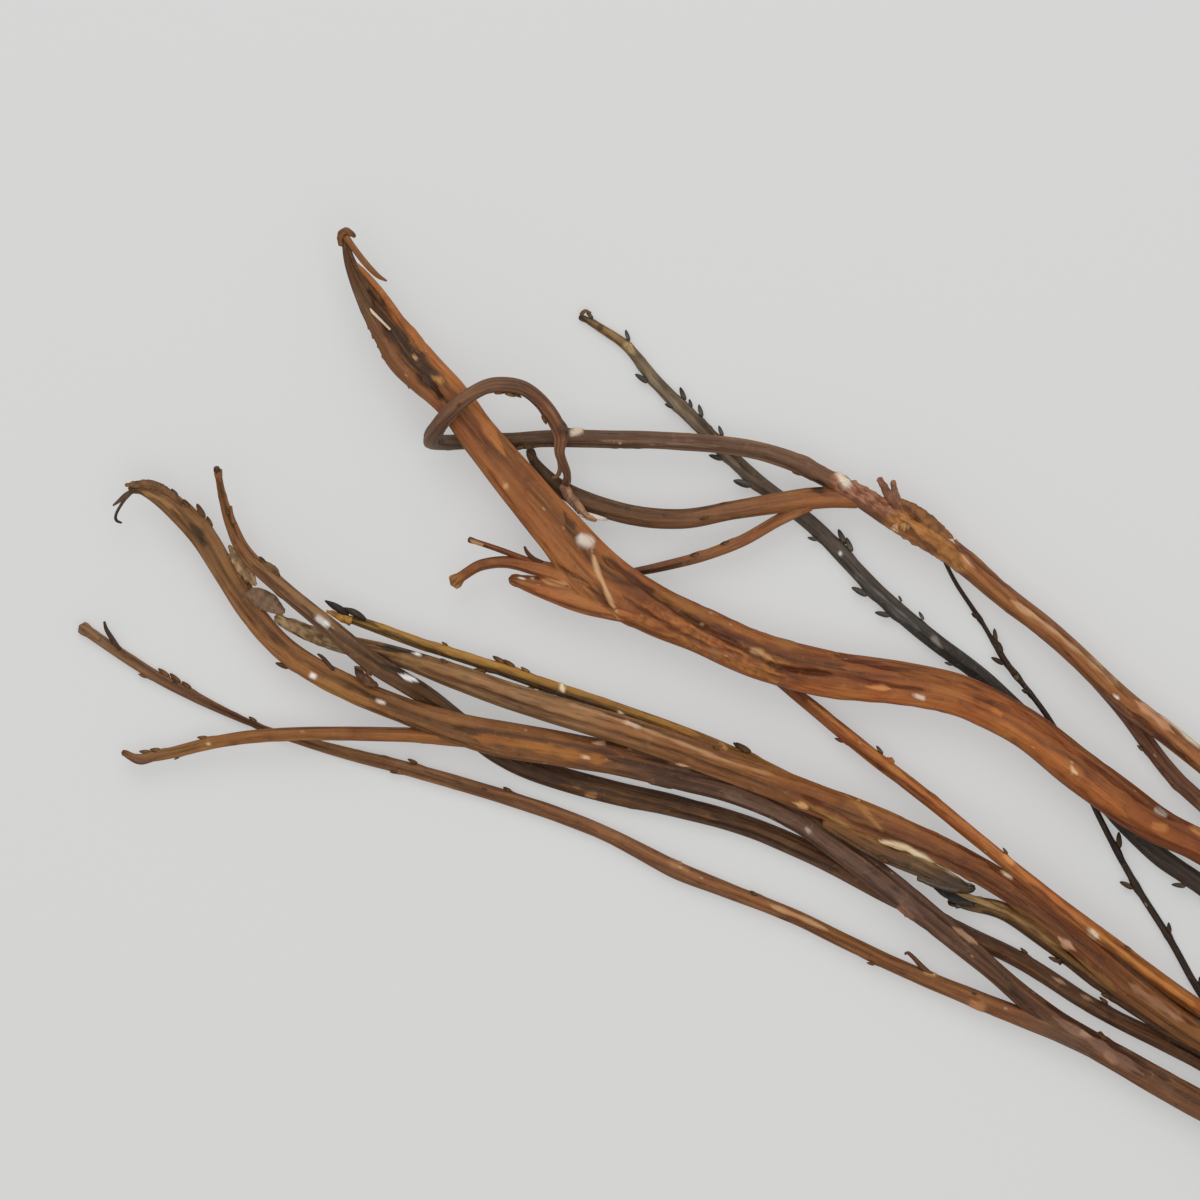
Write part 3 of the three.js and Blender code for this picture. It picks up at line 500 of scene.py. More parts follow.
        ],
        "buds": [
            (-209.5, 52.6, 4), (-204, 46, 4.5), (-196, 41.4, 7), (-192, 38.4, 5), (-164, 15.6, 6.5),
            (-160, 12, 5),
            (-155, -34.5, 6), (-195, -68, 4.5), (-224, -74, 5), (-219, -74, 4.5), (-241, -22, 4),
            (-226.5, -39, 4),
            (-213, -36.4, 6), (-208, -38.6, 6), (-203, -43, 5), (-171, -59.6, 4), (-101, -86, 3.6),
            (-90, -80.6, 4.6),
            (-45, -95.5, 4), (-56, -95, 2.6), (79, -147.6, 3.6), (137, -182, 3.4), (188, -197, 3),
            (252, -219, 5),
            (-112, -41.5, 3.6), (310, -262, 5), (-209, -79, 2.6),
        ],
        "nubs": [
            (-205, 47, 3.6, "5a4630"), (-199, 42.6, 4, "6a5038"), (-214, 52, 3, "7a5c3c"),
            (-211, -38, 3.6, "4a3626"),
            (-222, -74.6, 3.6, "4c3a26"), (-181, 24, 3, "96785a"), (-176, 15, 3.6, "a4866a"),
            (-172, 10, 3, "8c6e54"),
            (-101, -85.6, 3, "7c5440"), (40, -131.5, 3, "96704c"), (152, -156.6, 3, "8c6656"),
            (249, -215.5, 3, "7a5a48"),
        ],
        "slivers": [
            ("a88a68", [(-184.6, 27, 17.6, 1.6, 1.4), (-180, 20.4, 19, 6.4, 2), (-175, 13, 19, 6.6, 2),
                        (-171.4, 7.4, 18, 2, 1.4)]),
            ("7c6450", [(-177, 3.4, 17, 2, 1.6), (-171, 2, 18.6, 9, 2.2), (-164, -1.6, 18.6, 9.6, 2.4),
                        (-157.4, -6, 17.6, 3, 2)]),
            ("4a3828",
             [(-242.4, 47, 15, 0.9, 0.8), (-239, 49.6, 15.6, 2, 1.2), (-235.6, 52.6, 16.4, 2.2, 1.4),
                        (-231, 54.6, 17, 2.4, 1.6)]),
            ("241a14",
             [(-238.2, 38.4, 13, 1, 0.8), (-240.8, 39.6, 13.4, 1.6, 1), (-241, 42.6, 14, 1.5, 1.1),
                        (-237.6, 48.6, 15.4, 1.6, 1.2), (-233.6, 53, 16.6, 1.6, 1.4)]),
            ("6e5236", [(-236, 57, 18, 1.4, 1), (-230, 57.6, 19.6, 3.6, 1.4), (-222, 57.2, 20, 4.6, 1.6),
                        (-214, 53, 19.6, 4, 1.6), (-208, 47, 19, 2, 1.4)]),
            ("3e2a1c",
             [(-247.4, -10.8, 6, 1.2, 1), (-246.4, -14.6, 5.6, 2.2, 1.8), (-243.6, -19.4, 4.6, 2.8, 2.4),
                        (-240, -25, 3.4, 2.6, 2.4)]),
            ("6a4836", [(-238, -76.4, 10.6, 1, 0.9), (-235, -78.4, 10.4, 2, 1.6), (-229, -80.6, 10, 3, 2.4),
                        (-221, -78.6, 9.8, 2.6, 2)]),
            ("3c2618",
             [(-140.4, -26.8, 17, 1, 0.9), (-137.6, -29, 17.2, 2, 1.5), (-132.6, -34.6, 17.6, 2, 1.6)]),
            ("5c3a26",
             [(152, -176.6, 9.6, 1.2, 1), (153.4, -175.8, 9.8, 1.8, 1.4), (156.6, -178.6, 9.8, 2.2, 1.8),
                        (160.6, -183, 9.6, 2.8, 2.2), (166, -187.6, 9, 2.6, 2)]),
            ("8a6a52",
             [(-259.6, -12.6, 5.4, 1.4, 1.2), (-256, -14.6, 5.2, 2.4, 1.6), (-250, -19.6, 4.6, 2.4, 1.8)]),
        ],
    },
    "olive_weaving_stem": {
        "paths": [
            [
                (-189.5, 64.5, 26, 3.6, 3.6), (-187.5, 52.5, 26, 4.2, 4), (-183, 37.5, 25.5, 6.2, 5.2),
                (-175, 22, 25.5, 7.6, 6.2), (-156, 4.5, 25.5, 8.8, 7), (-135, -12.5, 25.2, 9.6, 7),
                (-115, -29.5, 23.5, 10.5, 7.5), (-97.5, -40.5, 18.5, 10.2, 7.4),
                (-83.5, -50, 9.5, 10, 7.2), (-70, -61.5, 5, 10.5, 7.2), (-52, -76, 3.7, 11, 7.2),
                (-30, -86, 3.8, 12, 7.6), (0, -94.5, 4, 12.5, 8), (40, -103.5, 4.1, 11.5, 8.2),
                (75, -113.5, 4.2, 11, 8.4), (110, -128.5, 4.2, 11, 8.4), (145, -147, 4.3, 10, 8.4),
                (180, -165.5, 4.8, 9, 8.2), (210, -180, 5, 9, 8.4), (250, -205, 5.2, 9, 8.6),
                (300, -230, 6.5, 9.6, 9), (345, -260, 8.5, 10.4, 9.2),
            ],
        ],
        "butt": ((-39, 12), (-16.2, -8.6), 12, 10, 82),
        "slot": "olive_bark",
        "sides": 52,
        "ribs": 0.4,
        "tints": [
            [
                (0, "7c5638"), (0.8, "94663f"), (3, "8a6242"), (5, "7c5c44"), (7, "60452e"), (9, "4a3420"),
                (11, "4c331f"), (13, "503620"), (15, "5c3e26"), (18, "5a3c26"), (21, "66462e"),
                (25, "6c4c34"),
            ]
        ],
        "marks": [
            (1.3, -0.7, "3c2818", 0.7, [(-172, 17), (-150, -1), (-126, -21), (-104, -36)]),
            (1.6, -0.9, "52301c", 0.8, [(-121, -33), (-117, -38), (-112, -41)]),
            (2.2, 0.3, "f0ece8", 0.95, [(-139, -9.6), (-136, -11.6)]),
            # painted shade: a black edge along the pale gap between this stem and the ridged brown stem
            (1.6, -0.6, "1e1812", 0.85, [(-108, -31.6), (-100, -34.6), (-91, -38)]),
            (1.5, -0.4, "f4f4f2", 0.95, [(-100, -36.6), (-95, -38.4), (-90, -40.4)]),
            (2, 0.4, "9a7854", 0.5, [(-170, 20), (-150, 2), (-132, -12)]),
            (1.1, 0.4, "cfa37c", 0.85, [(-12, -93), (-10.4, -93.4)]),
            (1.5, 0.4, "c89a74", 0.8, [(-6.6, -97), (-3, -97.4)]),
            (2.4, 0.3, "74502a", 0.5, [(-20, -92), (20, -101), (60, -110)]),
            (1.2, -0.6, "2e1e12", 0.7, [(-60, -73), (-20, -90), (30, -103), (80, -118), (120, -136)]),
            (1.6, 0.5, "bb907c", 0.8, [(226, -188), (233, -192)]),
            (1.4, 0.4, "b08a70", 0.7, [(240, -197), (246, -200)]),
        ],
        "buds": [
            (-187, 51.6, 4), (-188, 56, 2.6), (-184, 42.6, 3.4), (-118, -37.6, 5), (-165.5, 17, 5),
            (254, -200, 4.6),
            (213, -176.6, 4), (320, -236, 5),
        ],
        "nubs": [(-190, 64.6, 3.2, "3a2618"), (-116, -38.4, 4, "6a4226"), (-164, 16.4, 3.4, "5a4632")],
        "slivers": [
            ("6a5236", [(-169.8, 19, 26.6, 1.2, 1), (-166.2, 17.4, 27.4, 4, 3), (-162, 14.6, 27.4, 4.2, 3),
                        (-158.8, 11.6, 26.6, 1.2, 1)]),
            ("5e4230",
             [(-121.6, -33.6, 22.6, 1.6, 1.4), (-119, -37.4, 22.4, 4.4, 3), (-115, -40.6, 21.4, 4.6, 3),
                        (-110.6, -42.6, 20, 2, 2)]),
            ("7a5236",
             [(-190.4, 66, 26.2, 2.8, 2.8), (-189.6, 63, 26.4, 3.6, 3.6), (-189, 60, 26.4, 3.4, 3.4)]),
            ("70482e",
             [(-183, 46.6, 27, 1.2, 1.1), (-182.8, 43, 27.6, 2, 1.8), (-181.6, 38, 27.4, 2.4, 2)]),
        ],
    },
    "slim_olive_stem": {
        "paths": [
            [
                (-127, -9, 14, 3, 3), (-116, -12, 14, 5.6, 5), (-90, -21.5, 13, 6, 5.4),
                (-60, -31, 12, 6.2, 5.6), (-30, -41.5, 11, 6.2, 5.6), (0, -51.5, 10, 6.3, 5.7),
                (40, -65.5, 9, 6.3, 5.8), (78, -81.5, 8, 6.4, 6), (110, -97, 8, 6.5, 6),
                (150, -115, 8, 6.6, 6), (200, -139.5, 8, 6.8, 6.2), (250, -174, 8, 7, 6.4),
                (300, -207, 8, 7.2, 6.6), (345, -236, 9, 7.4, 6.8),
            ],
        ],
        "butt": ((-14, 11), (-1, -19), 8, 7, 58),
        "slot": "gold_bark",
        "sides": 40,
        "ribs": 0.22,
        "tints": [
            [
                (0, "54401e"), (1, "7c6030"), (3, "8c6c38"), (5, "6e5430"), (6, "82602c"), (7, "8c642e"),
                (9, "8c602e"), (12, "845a30"),
            ]
        ],
        "marks": [
            (1.3, 0.35, "b48c4c", 0.7,
             [(-112, -11), (-90, -19.5), (-60, -29), (-30, -39.5), (0, -49.5), (50, -68)]),
            (1.3, -0.4, "33270f", 0.75,
             [(-110, -15), (-80, -27), (-40, -40.5), (-16, -49), (0, -54.5), (20, -61)]),
            (1.1, 0.8, "f2e4c4", 0.95, [(-19, -42), (-18.6, -45)]),
            (1.2, 0.7, "f4e8d0", 0.95, [(9.6, -56), (11, -57)]),
            (1, 0.4, "caa070", 0.8, [(60, -72), (63, -74)]),
        ],
        "buds": [
            (-76, -22, 3), (-47, -30.6, 6.5), (-42, -32.6, 6),
            (-35, -34.6, 4.6), (-57, -35.6, 6), (-27, -46, 5), (-33, -44.6, 3.6), (76, -75.6, 8),
            (72, -74.4, 5),
            (10, -57.6, 3), (-19, -46.6, 3),
        ],
        "nubs": [(-130, -5, 3, "3a2e18"), (-121, -8.6, 3, "4a3a1c"), (-38, -34.6, 3, "40381e"),
         (60, -72.4, 2.4, "a47a4c")],
        "slivers": [
            ("241c16",
             [(-136.8, -0.4, 14, 1, 0.8), (-132.6, -2.8, 15.4, 3.4, 2.6), (-128.4, -5.2, 15.6, 3.6, 2.8),
                        (-125.4, -7.4, 15, 2, 1.6)]),
            ("2a2018",
             [(-127.6, -4, 15, 1, 0.8), (-123.4, -5.8, 16.2, 3.4, 2.8), (-119.4, -7.8, 16.4, 3, 2.6),
                        (-116.6, -9.8, 15.4, 1.4, 1.2)]),
            ("a87c3c",
             [(-136, -5.6, 14, 1.4, 1.2), (-131, -7.6, 14.4, 3.6, 2.6), (-124, -10.6, 14.4, 5, 4)]),
        ],
    },
    "ridged_brown_stem": {
        "paths": [
            [
                (-161, -8.5, 17, 4, 3), (-155, -12, 16, 7, 4), (-144, -17, 14, 8.6, 5),
                (-126, -22.5, 13, 10, 6.4), (-100, -28.5, 13.5, 10.5, 7.5), (-70, -39, 15, 13.5, 8.5),
                (-40, -49.5, 18, 14.5, 9), (-5, -60, 22, 15.5, 9.5), (30, -71, 23.2, 15.2, 9.5),
                (60, -82, 23, 14.5, 9.5), (95, -94.5, 23, 15, 9.5), (130, -108, 22, 16, 9.5),
                (165, -122, 20.5, 14, 9.5), (200, -141, 20, 13.5, 9.5), (235, -167, 20.5, 13.5, 10),
                (265, -193, 23, 14, 10), (300, -218, 24.5, 13, 10.5), (345, -246, 26, 13.2, 10.5),
            ],
            [
                (186, -143.5, 19, 3, 2.5), (178, -142, 19, 7, 4), (160, -133.5, 19.5, 9, 5.5),
                (138, -124, 20, 9, 6), (112, -109, 21, 8, 6),
            ],
        ],
        "butt": ((-22, 27.5), (-0.6, 2.4), 14, 10.5, 88),
        "slot": "ridged_bark",
        "sides": 64,
        "ribs": 0.5,
        "tints": [
            [
                (0, "9a7e5c"), (2, "9a7e5c"), (3, "7c5c3e"), (4, "80603e"), (6, "8c6c50"), (8, "88603c"),
                (10, "80522e"),
                (12, "7e5030"), (14, "6c3e1e"), (16, "785024"), (18, "7a502e"), (22, "74503a"),
            ],
            [(0, "241e18"), (1.4, "4a3a2c"), (3, "6a4e34"), (4, "74502e")],
        ],
        "marks": [
            # painted shadow: where this stem passes under the olive weaving stem
            (2.2, -0.8, "2c2014", 0.85, [(-116, -25.4), (-108, -30), (-101, -35)]),
            # painted shadow: a black strip below the slim olive stem, which lies along this stem's upper edge
            (1.5, -0.3, "1c1a16", 0.9, [(-111, -22.4), (-98, -24.8), (-84, -28.6)]),
            (1.3, 0.3, "f4f0ea", 0.95, [(-92, -26.2), (-90.4, -26.6)]),
            (1.6, -0.4, "f4f4f2", 0.95, [(-100, -36), (-95, -37.6), (-90, -39.4)]),
            (1.1, 0.5, "bb9474", 0.75, [(-16, -51), (6, -58), (33, -68), (60, -79), (86, -87)]),
            (2, 0.4, "dec4a8", 0.75, [(14, -60.6), (18, -62.4)]),
            (1.3, 0.5, "dab294", 0.9, [(37, -81.4), (44, -82.6)]),
            (1.4, 0.5, "dcb888", 0.9, [(96, -100.6), (102, -102.6), (102.6, -105)]),
            (1.3, 0.4, "ac8c6c", 0.8, [(16.6, -78.4), (19.6, -79.2)]),
            (1.1, 0.6, "97753f", 0.7, [(104, -102), (130, -117), (150, -124), (186, -141)]),
            (1.2, -1.1, "5e3416", 0.75, [(100, -97), (126, -111), (150, -121), (188, -137), (212, -152)]),
            (1.3, 0.5, "a8804e", 0.6, [(122, -97), (131, -104), (141, -116)]),
            (0.9, 0.7, "e2cfae", 0.95, [(139, -119), (152, -123), (164, -129.6), (186, -141.6)]),
            (1.3, -1.1, "64360f", 0.7, [(150, -108), (190, -128), (230, -160), (262, -187), (296, -212)]),
            (1.8, 0.4, "8a6a3a", 0.5, [(186, -146), (205, -154), (230, -173), (256, -194)]),
            (1.1, 0.5, "e4ccae", 0.85, [(201, -135), (204, -137)]),
            (2.4, 0.4, "8a5a28", 0.5, [(60, -78), (100, -90), (140, -104), (180, -123)]),
            (1.2, -0.8, "583a22", 0.7, [(-90, -34), (-50, -48), (-10, -61), (30, -73), (70, -88)]),
            (2, 0.3, "a07a58", 0.5, [(-100, -26), (-70, -35), (-40, -45), (0, -57)]),
            (1.8, 0.6, "caa088", 0.7, [(228, -168), (236, -174)]),
            (2, 0.4, "a8806c", 0.6, [(262, -190), (275, -199), (290, -209)]),
            (2, 0.3, "4e3a2a", 0.7, [(166, -142), (176, -144.4), (186, -144)]),
        ],
        "roughs": [(4, 0.5, "6e5438", "b09a78", [(-160, -9.6), (-143, -18), (-129, -22)])],
        "buds": [(60, -74.6, 3.4), (140, -128.6, 4), (-76, -31, 3.4), (232, -158, 3.6), (330, -234, 5)],
        "nubs": [(60, -73.6, 2.6, "8a5c38"), (128, -99.6, 2.6, "a87c4c"), (140, -128, 3, "4a3826")],
        "slivers": [
            ("3e342a", [(185, -144.6, 19.6, 1, 0.8), (178, -144, 20.4, 3.4, 1.6), (168, -141.6, 21, 4, 1.8),
                        (158, -138, 21, 2.6, 1.6)]),
        ],
    },
    "torn_olive_stem": {
        "paths": [
            [
                (174, -150.5, 8.5, 3, 3), (184, -151.5, 8.8, 7, 5.5), (203, -156, 9, 9.4, 7.5),
                (228, -173.5, 9.6, 9.8, 8), (250, -190.5, 12, 9.8, 8.2), (275, -207.5, 13.4, 9.8, 8.4),
                (300, -221, 14.4, 10, 8.6), (345, -249, 15.2, 10.4, 8.8),
            ],
        ],
        "butt": ((-26, 16), (-4.2, -8.4), 11, 9, 76),
        "slot": "drab_bark",
        "sides": 52,
        "ribs": 0.45,
        "tints": [[(0, "2e221a"), (0.8, "54402c"), (1.6, "7e6040"), (3, "74552f"), (4.4, "6c4c30"),
         (6, "5a3f28"),
                   (10, "644630")]],
        "marks": [
            (1.8, 0.6, "c2a172", 0.7, [(186, -149), (200, -153), (216, -162), (232, -174)]),
            (1.6, 0.6, "d2b48c", 0.8, [(184, -146.6), (189, -148)]),
            (1.3, -0.8, "33241a", 0.75, [(190, -155), (206, -162), (226, -177), (250, -195)]),
            (2, -0.4, "46301e", 0.7, [(214, -172), (236, -186), (262, -204), (284, -216)]),
            (1.5, 0.4, "a87c62", 0.6, [(240, -180), (262, -196)]),
        ],
        "buds": [(227.6, -182.6, 5), (254.6, -198.6, 4.4), (300, -226, 4.6)],
        "nubs": [(176, -148, 3.4, "3a3630"), (179, -152.6, 3, "5a5650"), (228, -182, 3.4, "3a2a1e")],
        "slivers": [
            ("2c2a28", [(166.6, -143.6, 11, 1, 0.8), (171, -146, 11.4, 3, 1.4), (178, -149, 12, 4.4, 2.2),
                        (186, -151.4, 12, 3, 2.4)]),
            ("b09468", [(177, -145.6, 12.6, 1, 0.8), (183, -147.6, 13, 3, 1.4), (192, -151, 13.2, 3, 1.4),
                        (200, -154.6, 13, 1.6, 1)]),
        ],
    },
}

# ---------- the shape of a branch ----------
RING_STEP = 1.6  # spacing of the rings along a branch
SLIVER_STEP = 0.9
SLIVER_SIDES = 20


def curve_at(values, at):
    """Catmull-Rom through the rows of values; at is in station numbers. Gives the values and their slope."""
    values = np.asarray(values, float)
    last = len(values) - 1
    before = 2 * values[0] - values[1]
    after = 2 * values[-1] - values[-2]
    rows = np.vstack([before, values, after])
    span = np.clip(np.floor(at).astype(int), 0, last - 1)
    t = (at - span)[:, None]
    p0, p1, p2, p3 = rows[span], rows[span + 1], rows[span + 2], rows[span + 3]
    m1, m2 = (p2 - p0) / 2, (p3 - p1) / 2
    a = 2 * p1 - 2 * p2 + m1 + m2
    b = -3 * p1 + 3 * p2 - 2 * m1 - m2
    return ((a * t + b) * t + m1) * t + p1, (3 * a * t + 2 * b) * t + m1


class Path:
    """Rings along one length of branch: where each is, which way it faces, how wide and thick it is."""

    def __init__(self, stations, step):
        stations = np.array(stations, float)
        at = []
        for i in range(len(stations) - 1):
            pieces = max(2, round(float(np.linalg.norm(stations[i + 1, :3] - stations[i, :3])) / step))
            at.extend(i + k / pieces for k in range(pieces))
        at.append(len(stations) - 1)
        self.at = np.array(at)
        self.middle, slope = curve_at(stations[:, :3], self.at)
        size, _ = curve_at(stations[:, 3:5], self.at)
        self.width, self.thick = size[:, 0], size[:, 1]
        self.along = slope / np.linalg.norm(slope, axis=1)[:, None]
        across = np.array([-self.along[0, 1], self.along[0, 0], 0.0])
        sideways = []
        for a in self.along:
            across = across - a * across.dot(a)
            across /= np.linalg.norm(across)
            sideways.append(across.copy())
        self.across = np.array(sideways)
        self.up = np.cross(self.along, self.across)
        steps = np.linalg.norm(np.diff(self.middle, axis=0), axis=1)
        self.length = np.concatenate([[0], np.cumsum(steps)])

    def nearest(self, u, v):
        """The ring nearest to a place in the layout, how far to its side the place is, and how far off."""
        d = np.array([u, v]) - self.middle[:, :2]
        i = int(np.argmin((d**2).sum(1)))
        flat = self.across[i, :2] / max(1e-6, np.linalg.norm(self.across[i, :2]))
        return i, float(d[i].dot(flat)), float(np.hypot(*d[i]))


def blend_stops(stops, at):
    """Colour along the branch from (station number, colour code) stops."""
    places = [s[0] for s in stops]
    colours = np.array([linear(s[1]) for s in stops])
    return np.stack([np.interp(at, places, colours[:, k]) for k in range(3)], axis=1)


def smooth(x):
    x = np.clip(x, 0, 1)
    return x * x * (3 - 2 * x)


def from_line(places, points):
    """Distance of each place in the layout from a line of points, and how far along the line it is, 0 to 1."""
    points = np.asarray(points, float)
    runs = np.linalg.norm(np.diff(points, axis=0), axis=1)
    total = runs.sum()
    best = np.full(len(places), 1e9)
    how_far = np.zeros(len(places))
    start = 0.0
    for a, b, run in zip(points[:-1], points[1:], runs):
        ab = (b - a) / max(run, 1e-9)
        t = np.clip((places - a).dot(ab), 0, run)
        d = np.linalg.norm(places - (a + t[:, None] * ab), axis=1)
        nearer = d < best
        best[nearer] = d[nearer]
        how_far[nearer] = (start + t[nearer]) / total
        start += run
    return best, how_far, total


def ribbing(x, along, rng, size):
    """The grown-together ribs of a flattened branch, as a rise in mm. x is -1 to 1 across it."""
    rise = np.zeros(np.broadcast(x, along).shape)
    for waves, part in ((1.1, 1.0), (2.3, 0.55), (4.1, 0.3), (7.3, 0.2)):
        start = rng.uniform(0, 6.28)
        drift = rng.uniform(60, 140)
        lean = rng.uniform(0, 6.28)
        weave = start + 1.1 * np.sin(along / drift + lean) + 0.5 * np.sin(along / (drift * 0.31) + lean * 2)
        rise += part * np.sin(waves * math.pi * x + weave)
    return rise * size


def swelling(theta, along, rng, size):
    """Small lumps in the bark, as a rise in mm."""
    rise = np.zeros(np.broadcast(theta, along).shape)
    for turns, reach in ((1, 31), (2, 17), (3, 9.5), (5, 6)):
        a, b = rng.uniform(0, 6.28), rng.uniform(0, 6.28)
        rise += np.sin(turns * theta + a + along / (reach * 2.7)) * np.sin(along / reach + b)
    return rise * size / 3


def rolled_sheet(name, rings, sides):
    """A flat grid, ready to be rolled into a tube: its object, and the ring and the turn of each of its points."""
    bpy.ops.object.select_all(action="DESELECT")
    bpy.ops.mesh.primitive_grid_add(x_subdivisions=sides, y_subdivisions=rings - 1, size=1)
    piece = bpy.context.object
    piece.name = name
    piece.data.name = name
    count = len(piece.data.vertices)
    flat = np.empty(count * 3)
    piece.data.vertices.foreach_get("co", flat)
    flat = flat.reshape(-1, 3)
    ring = np.rint((flat[:, 1] + 0.5) * (rings - 1)).astype(int)
    turn = (flat[:, 0] + 0.5) * 2 * math.pi - math.pi / 2  # the seam is underneath
    return piece, ring, turn


def put_colours(mesh, colours):
    """Stores each point's colour on the mesh as tint; the browner it is, the more golden it becomes."""
    brown = 1 - colours.min(axis=1) / np.maximum(colours.max(axis=1), 1e-4)
    colours = colours * (1 + (GOLDEN - 1) * np.clip(brown * 3 - 1.5, 0, 1)[:, None])
    layer = mesh.color_attributes.new("tint", "FLOAT_COLOR", "CORNER")
    corner = np.empty(len(mesh.loops), int)
    mesh.loops.foreach_get("vertex_index", corner)
    full = np.ones((len(corner), 4))
    full[:, :3] = colours[corner]
    layer.data.foreach_set("color", full.ravel())


def close_tube(piece, middle_tip, cut_material):
    """Joins the seam and closes both ends; the thick end becomes a sawn face if cut_material is given."""
    bm = bmesh.new()
    bm.from_mesh(piece.data)
    bmesh.ops.remove_doubles(bm, verts=bm.verts, dist=1e-7)
    tints = bm.loops.layers.float_color["tint"]
    places = bm.loops.layers.uv.active
    edges = [e for e in bm.edges if e.is_boundary]
    ends = bmesh.ops.holes_fill(bm, edges=edges, sides=0)["faces"]
    tip_face = min(ends, key=lambda f: (f.calc_center_median() - middle_tip).length)
    for face in ends:
        near = {}
        for loop in face.loops:
            other = next(lp for lp in loop.vert.link_loops if lp.face is not face)
            near[loop.vert] = (tuple(other[tints]), tuple(other[places].uv))
            loop[tints] = other[tints]
        sawn = face is not tip_face and cut_material is not None
        middle = face.calc_center_median()
        radius = max((v.co - middle).length for v in face.verts)
        if sawn:
            inner = bmesh.ops.inset_region(bm, faces=[face], thickness=radius * 0.07, depth=0)["faces"]
            for side in inner:
                for loop in side.loops:
                    loop[tints] = near.get(loop.vert, next(iter(near.values())))[0]
            spokes = bmesh.ops.poke(bm, faces=[face])["faces"]
            normal = spokes[0].normal
            side = normal.orthogonal().normalized()
            upright = normal.cross(side)
            for spoke in spokes:
                spoke.material_index = 1
                for loop in spoke.loops:
                    off = loop.vert.co - middle
                    loop[places].uv = (off.dot(side), off.dot(upright))
        else:
            normal = face.normal.copy()
            made = bmesh.ops.poke(bm, faces=[face])
            for vert in made["verts"]:
                vert.co += normal * radius * 0.45
            first = next(iter(near.values()))
            for spoke in made["faces"]:
                for loop in spoke.loops:
                    loop[tints] = near.get(loop.vert, first)[0]
                    loop[places].uv = near.get(loop.vert, first)[1]
    bmesh.ops.recalc_face_normals(bm, faces=bm.faces)
    bm.to_mesh(piece.data)
    bm.free()
    piece.data.update()


GOLDEN = np.array([1.07, 0.93, 0.61])


def torn_bark(points, reach):
    """The rise and fall of rough, torn bark at the points it reaches, about -1 to 1."""
    lumps = np.zeros(len(points))
    for i in np.nonzero(reach > 0.01)[0]:
        p = Vector(points[i])
        lumps[i] = noise.noise(p * 0.3) + 0.8 * noise.noise(p * 0.75) + 0.5 * noise.noise(p * 1.7)
    return lumps


def cracks_and_nicks(turn, along, radius, length, rng, count):
    """Long cracks and small scars strewn over the bark: the rise in mm, and how much each darkens the bark."""
    rise = np.zeros(len(turn))
    shade = np.zeros(len(turn))
    for _ in range(int(length / 13 * count)):
        middle, reach = rng.uniform(0, length), rng.uniform(8, 38)
        where = rng.uniform(0.1, math.pi - 0.1) + 0.22 * np.sin(along / rng.uniform(8, 20) + rng.uniform(0, 6))
        width = rng.uniform(0.45, 0.9)
        off = np.abs((turn - where + math.pi) % (2 * math.pi) - math.pi) * radius
        near = np.exp(-((off / width) ** 2)) * smooth(1.3 - np.abs(along - middle) / reach)
        rise -= near * rng.uniform(0.2, 0.6)
        shade += near * rng.uniform(0.2, 0.42)
    for _ in range(int(length / 11 * count)):
        middle, size = rng.uniform(3, length - 3), rng.uniform(0.6, 1.9)
        where = rng.uniform(0.0, math.pi)
        off = ((turn - where + math.pi) % (2 * math.pi) - math.pi) * radius / size
        near = np.exp(-(off**2) - ((along - middle) / (size * 1.5)) ** 2)
        rise += near * rng.uniform(-0.5, 0.5)
        shade += near * rng.choice([0.4, 0.3, -0.25])
    return rise, shade


